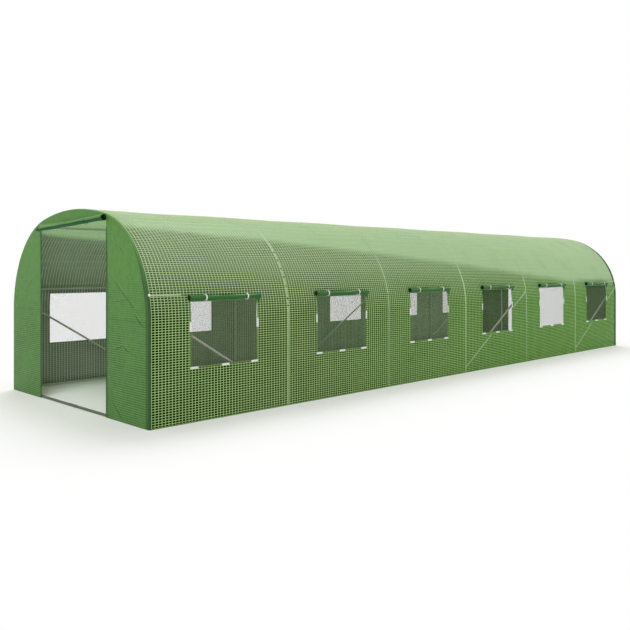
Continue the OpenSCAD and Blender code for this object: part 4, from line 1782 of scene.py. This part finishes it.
def roll_piece(name: str, made: Iterable[Shape], material: Material, ends: Material) -> Object:
    """Joins rolls into one piece with a flat-cut map.

    Args:
        name: The piece's name.
        made: Points, faces and flat map of each roll.
        material: Its finish.
        ends: The finish of the cloth's edges at the rolls' ends, near black as painted shade between the
            turns.

    Returns:
        The piece.
    """
    points, faces, flat = [], [], []
    for p, f, m in made:
        faces += [tuple(i + len(points) for i in face) for face in f]
        points += [tuple(q) for q in p]
        flat += [tuple(q) for q in m]
    piece = mesh_object(name, np.array(points), faces)
    keep_flat_map(piece, np.array(flat))
    work = bmesh.new()
    work.from_mesh(piece.data)
    bmesh.ops.recalc_face_normals(work, faces=work.faces)
    for edge in work.edges:
        edge.smooth = len(edge.link_faces) < 2 or edge.calc_face_angle(0) < 0.9
    work.to_mesh(piece.data)
    work.free()
    dress(piece, material)
    piece.data.materials.append(ends)
    # The cloth's edges at the rolls' ends take the painted shade finish.
    cut = [len({flat[i][0] for i in face.vertices}) == 1 for face in piece.data.polygons]
    piece.data.polygons.foreach_set("material_index", np.array(cut, np.int32))
    return piece


@dataclass
class Windows:
    """The windows of one long side: nets, rolled flaps, ties and tabs."""

    layout: Layout
    palette: Palette
    nodes: dict[str, Object]
    side: Side
    net_pitch: float = 0.0030
    net_thread: float = 0.00042
    net_inset: float = 0.0036
    net_lap: float = 0.014
    roll_rise: float = 0.038
    roll_over: float = 0.035
    roll_taper: float = 0.38
    corner_drop: float = 0.060
    corner_w: float = 0.085
    stitch_off: float = 0.0055
    stitch_pitch: float = 0.012
    ties: tuple[float, float] = (-0.29, 0.29)

    def build(self) -> list[Object]:
        """Makes the pieces of every window on this side.

        Returns:
            The pieces that were added.
        """
        tag = self.side.tag
        dress(self.nodes[f"{tag}_roll_ties"], self.palette.webbing)
        dress(self.nodes[f"{tag}_window_tabs"], self.palette.webbing)
        return [self.nets(tag), self.rolls(tag), self.stitches(tag)]

    def nets(self, tag: str) -> Object:
        """Weaves the insect nets."""
        lay = self.layout
        x = self.side.value * (lay.arch.width / 2 - self.net_inset)
        mid = lay.window_sill + lay.window_h / 2
        w, h = lay.window_w + 2 * self.net_lap, lay.window_h + 2 * self.net_lap
        t, p = self.net_thread, self.net_pitch
        piece = mesh_object(f"{tag}_nets", np.array([(x, y, mid) for y in lay.windows()]))
        up, level = int(w // p), int(h // p)
        WeaveNet().put(
            piece, Upright_Count=up, Level_Count=level, Pitch=p,
            Upright=(1.8 * t, t, h), Level=(1.7 * t, w, t),
            Start=(0.0, -(up - 1) * p / 2, -(level - 1) * p / 2), Material=self.palette.net,
        )
        settle(piece)
        self.follow_arch(piece)
        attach(piece, "root")
        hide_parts(f"{tag}_window_nets")
        return piece

    def follow_arch(self, piece: Object) -> None:
        """Leans the tops of the nets inwards, as the cover bends above the wall."""
        arch, count = self.layout.arch, len(piece.data.vertices)
        points = np.zeros(3 * count, np.float32)
        piece.data.vertices.foreach_get("co", points)
        points = points.reshape(-1, 3)
        run = arch.shoulder_r - self.net_inset
        rise = np.clip(points[:, 2] - arch.wall_h, 0.0, run)
        points[:, 0] -= self.side.value * (run - np.sqrt(run * run - rise * rise))
        piece.data.vertices.foreach_set("co", points.ravel())
        piece.data.update()

    def loose_corner(self, length: float, radius: float) -> Shape:
        """Works out the corner of a flap that hangs out of its roll's rear end, in the roll's own axes.

        Args:
            length: The roll's length.
            radius: The roll's radius there.

        Returns:
            The points, the faces and the flat-cut map of each point.
        """
        rows, columns, t = 6, 6, LOOSE_T
        points, flat = [], []
        for back in (0, 1):
            for j in range(rows):
                down = j / (rows - 1)
                for i in range(columns):
                    share = i / (columns - 1)
                    x = length / 2 - 0.012 - self.corner_w * (1 - share) * (1 - 0.55 * down)
                    z = -0.4 * radius - (self.corner_drop + 0.4 * radius) * down * (0.35 + 0.65 * share)
                    bow = 0.5 * radius * (1 - down) + 0.006 * math.sin(3 * down + 2 * share)
                    points.append((x, bow - back * t, z))
                    flat.append((x, z))
        n = rows * columns
        faces = [f[::-1] for f in grid_faces(rows, columns, start=n)] + grid_faces(rows, columns)
        faces += [(b, a, a + n, b + n) for a, b in grid_rim(rows, columns)]
        return np.array(points), faces, np.array(flat)

    def rolls(self, tag: str) -> Object:
        """Rolls up the flaps and hangs them over their windows."""
        lay, arch = self.layout, self.layout.arch
        roll = Roll(lay.window_w + 2 * self.roll_over, taper=self.roll_taper)
        z = lay.window_top + self.roll_rise
        reach = arch.shoulder_r + 2 * FIT_GAP + TIE_T + roll.radius
        axis_x = arch.centre_x + math.sqrt(reach ** 2 - (z - arch.wall_h) ** 2)
        corner, made = self.loose_corner(roll.length, roll.radius * (1 - roll.taper)), []
        for i, y in enumerate(lay.windows()):
            for p, f, m in (roll.shape(self.ties, 1.7 * i + self.side.value), corner):
                spun = np.stack([self.side.value * (axis_x + p[:, 1]), y + p[:, 0], z + p[:, 2]], 1)
                made.append((spun, f, m))
        piece = roll_piece(f"{tag}_flap_rolls", made, self.palette.flap, self.palette.roll_end)
        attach(piece, "root")
        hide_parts(f"{tag}_window_rolls")
        return piece

    def stitches(self, tag: str) -> Object:
        """Sews the border of each window."""
        lay, runs, off = self.layout, [], self.stitch_off
        facing = np.array([self.side.value, 0.0, 0.0])
        for y in lay.windows():
            near, far = y - lay.window_w / 2 - off, y + lay.window_w / 2 + off
            low, high = lay.window_sill - off, lay.window_top + off
            corners = [(near, low), (far, low), (far, high), (near, high)]
            for first, last in zip(corners, corners[1:] + corners[:1]):
                line = np.linspace(first, last, 13)
                xs = [self.side.value * lay.arch.half_width(z, 0.0) for z in line[:, 1]]
                runs.append((np.column_stack([xs, line]), facing))
        return repeated(
            f"{tag}_hem_stitches", runs, stitch("hem_stitch_item"), self.stitch_pitch,
            self.palette.thread,
        )


@dataclass
class Doorway:
    """The rolled-up door flap of one end, its loose top over the roll, and its ties."""

    layout: Layout
    palette: Palette
    nodes: dict[str, Object]
    end: End
    drop: float = 0.005
    tilt: float = math.radians(2.3)
    length: float = 1.50
    shift: float = 0.010
    lap: float = 0.030
    wrap: float = math.radians(88)
    ties: tuple[float, float] = (-0.45, 0.26)

    def build(self) -> list[Object]:
        """Makes the flap.

        Returns:
            The pieces that were added.
        """
        tag, lay = self.end.tag, self.layout
        # The ties take the door roll's colour, which is painted shade.
        dress(self.nodes[f"{tag}_door_ties"], self.palette.door_flap)
        roll = Roll(self.length, stations=40)
        y = lay.front - 3 * FIT_GAP - FLAP_T - TIE_T - roll.radius
        p, f, m = roll.shape([-t for t in self.ties], 0.6)
        c, s = math.cos(self.tilt), math.sin(self.tilt)
        p = p * np.array([-1.0, 1.0, 1.0])
        spun = np.stack([
            p[:, 0] * c - p[:, 2] * s - self.shift,
            y - p[:, 1],
            lay.door_h - self.drop + p[:, 0] * s + p[:, 2] * c,
        ], 1)
        top = self.loose_top(roll, y)
        made = [(spun * self.end.turn, f, m), (top[0] * self.end.turn, top[1], top[2])]
        # The roll is dressed in the door flap colour, the end cloth with painted shade.
        piece = roll_piece(f"{tag}_door_flap", made, self.palette.door_flap, self.palette.roll_end)
        piece.data.materials.append(self.palette.cloth)
        for face in piece.data.polygons[len(f):]:
            face.material_index = 2
        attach(piece, "root")
        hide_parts(f"{tag}_door_roll")
        return [piece]

    def loose_top(self, roll: Roll, axis_y: float) -> Shape:
        """Works out the flap's loose top, from the gable down over the front of the roll.

        Args:
            roll: The rolled part of the flap.
            axis_y: Y of the roll's axis.

        Returns:
            The points, the faces and the flat-cut map of each point.
        """
        lay, half, t, rows, free = self.layout, self.layout.door_w / 2, LOOSE_T, 14, 5
        xs, points, flat = np.linspace(-half, half, 61), [], []
        for side in (0, 1):
            for k in range(rows):
                for x in xs:
                    share = -(x + self.shift) / roll.length
                    r = roll.radius * (1.02 - roll.taper * (share + 0.5)) + 0.0012 + side * t
                    axis_z = lay.door_h - self.drop + (x + self.shift) * math.tan(self.tilt)
                    seam_z = max(lay.door_h + self.lap, axis_z + r + 0.012)
                    seam = np.array([lay.front - 3 * FIT_GAP - side * t, seam_z])
                    gap = seam - (axis_y, axis_z)
                    reach = float(np.hypot(*gap))
                    touch = math.atan2(-gap[0], gap[1]) + math.acos(min(r / reach, 1.0))
                    touch = min(touch, self.wrap - 0.2)
                    meet = np.array([axis_y - r * math.sin(touch), axis_z + r * math.cos(touch)])
                    if k < free:
                        y, z = seam + (meet - seam) * k / free
                    else:
                        down = (k - free) / (rows - 1 - free)
                        a = touch + (self.wrap - touch) * down + 0.05 * math.sin(17 * x) * down
                        y, z = axis_y - r * math.sin(a), axis_z + r * math.cos(a)
                    points.append((x, y, z))
                    flat.append((x, lay.door_h + self.lap - 0.0075 * k))
        n = len(xs)
        faces = grid_faces(rows, n) + [f[::-1] for f in grid_faces(rows, n, start=rows * n)]
        faces += [(a, b, b + rows * n, a + rows * n) for a, b in grid_rim(rows, n)]
        return np.array(points), faces, np.array(flat)


@dataclass
class Stage:
    """Floor, light and camera."""

    eye: Triple = (6.975, -8.398, 1.442)
    yaw: float = math.radians(45.914)
    lens: float = 40.642
    shift: tuple[float, float] = (0.0173, -0.0749)
    floor_r: float = 60.0

    def build(self) -> None:
        """Makes the floor, the lamps, the world and the camera."""
        scene = bpy.context.scene
        scene.view_settings.view_transform = "Standard"
        self.floor()
        self.world(scene)
        self.lamp("key_sun", (math.radians(37), 0.0, math.radians(40)), 1.45, math.radians(35))
        self.lamp("back_sun", (math.radians(35), 0.0, math.radians(225)), 1.1, math.radians(35))
        view = bpy.data.cameras.new("photo_camera")
        view.lens, view.sensor_width, view.clip_end = self.lens, 36.0, 200.0
        view.shift_x, view.shift_y = self.shift
        camera = bpy.data.objects.new("photo_camera", view)
        camera.location, camera.rotation_euler = self.eye, (math.pi / 2, 0, self.yaw)
        scene.collection.objects.link(camera)
        scene.camera = camera

    def floor(self) -> None:
        """Lays a round pale floor."""
        turn = np.linspace(0, 2 * math.pi, 97)[:-1]
        ring = self.floor_r * np.stack([np.cos(turn), np.sin(turn), 0 * turn], 1)
        piece = mesh_object("pale_floor", ring, [tuple(range(len(ring)))], smooth=False)
        dress(piece, StageFinish("pale_floor").material())

    def world(self, scene: bpy.types.Scene) -> None:
        """Fills the sky with soft light, and shows it as plain white.

        Args:
            scene: The scene to light.
        """
        sky = bpy.data.worlds.new("soft_sky")
        sky.use_nodes = True
        sky.node_tree.nodes.clear()
        w = Wires(sky.node_tree)
        soft = w.add("ShaderNodeBackground", {"Color": (1.0, 0.995, 0.97, 1), "Strength": 0.50})
        white = w.add("ShaderNodeBackground", {"Color": (1, 1, 1, 1), "Strength": 1.0})
        mixed = w.add("ShaderNodeMixShader", {0: w.in_sight(), 1: soft.outputs[0], 2: white.outputs[0]})
        w.add("ShaderNodeOutputWorld", {0: mixed.outputs[0]})
        scene.world = sky

    def lamp(self, name: str, turn: Triple, strength: float, spread: float) -> None:
        """Adds a wide soft sun.

        Args:
            name: The lamp's name.
            turn: Its rotation.
            strength: Its strength.
            spread: The angle that it fills.
        """
        light = bpy.data.lights.new(name, "SUN")
        light.energy, light.angle = strength, spread
        made = bpy.data.objects.new(name, light)
        made.rotation_euler = turn
        bpy.context.scene.collection.objects.link(made)


def main() -> None:
    """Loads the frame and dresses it."""
    logging.basicConfig(level=logging.INFO, format="%(name)s: %(message)s")
    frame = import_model()
    nodes: dict[str, Object] = frame["nodes"]
    layout, palette = Layout(), Palette()
    Stage().build()
    parts: list[Any] = [Frame(layout, palette, nodes), Cover(layout, palette)]
    parts += [EndWall(layout, palette, nodes, end) for end in End]
    parts += [Windows(layout, palette, nodes, side) for side in Side]
    parts += [Doorway(layout, palette, nodes, end) for end in End]
    for part in parts:
        for piece in part.build():
            log.info("%s: %d faces", piece.name, len(piece.data.polygons))


if __name__ == "__main__":
    main()
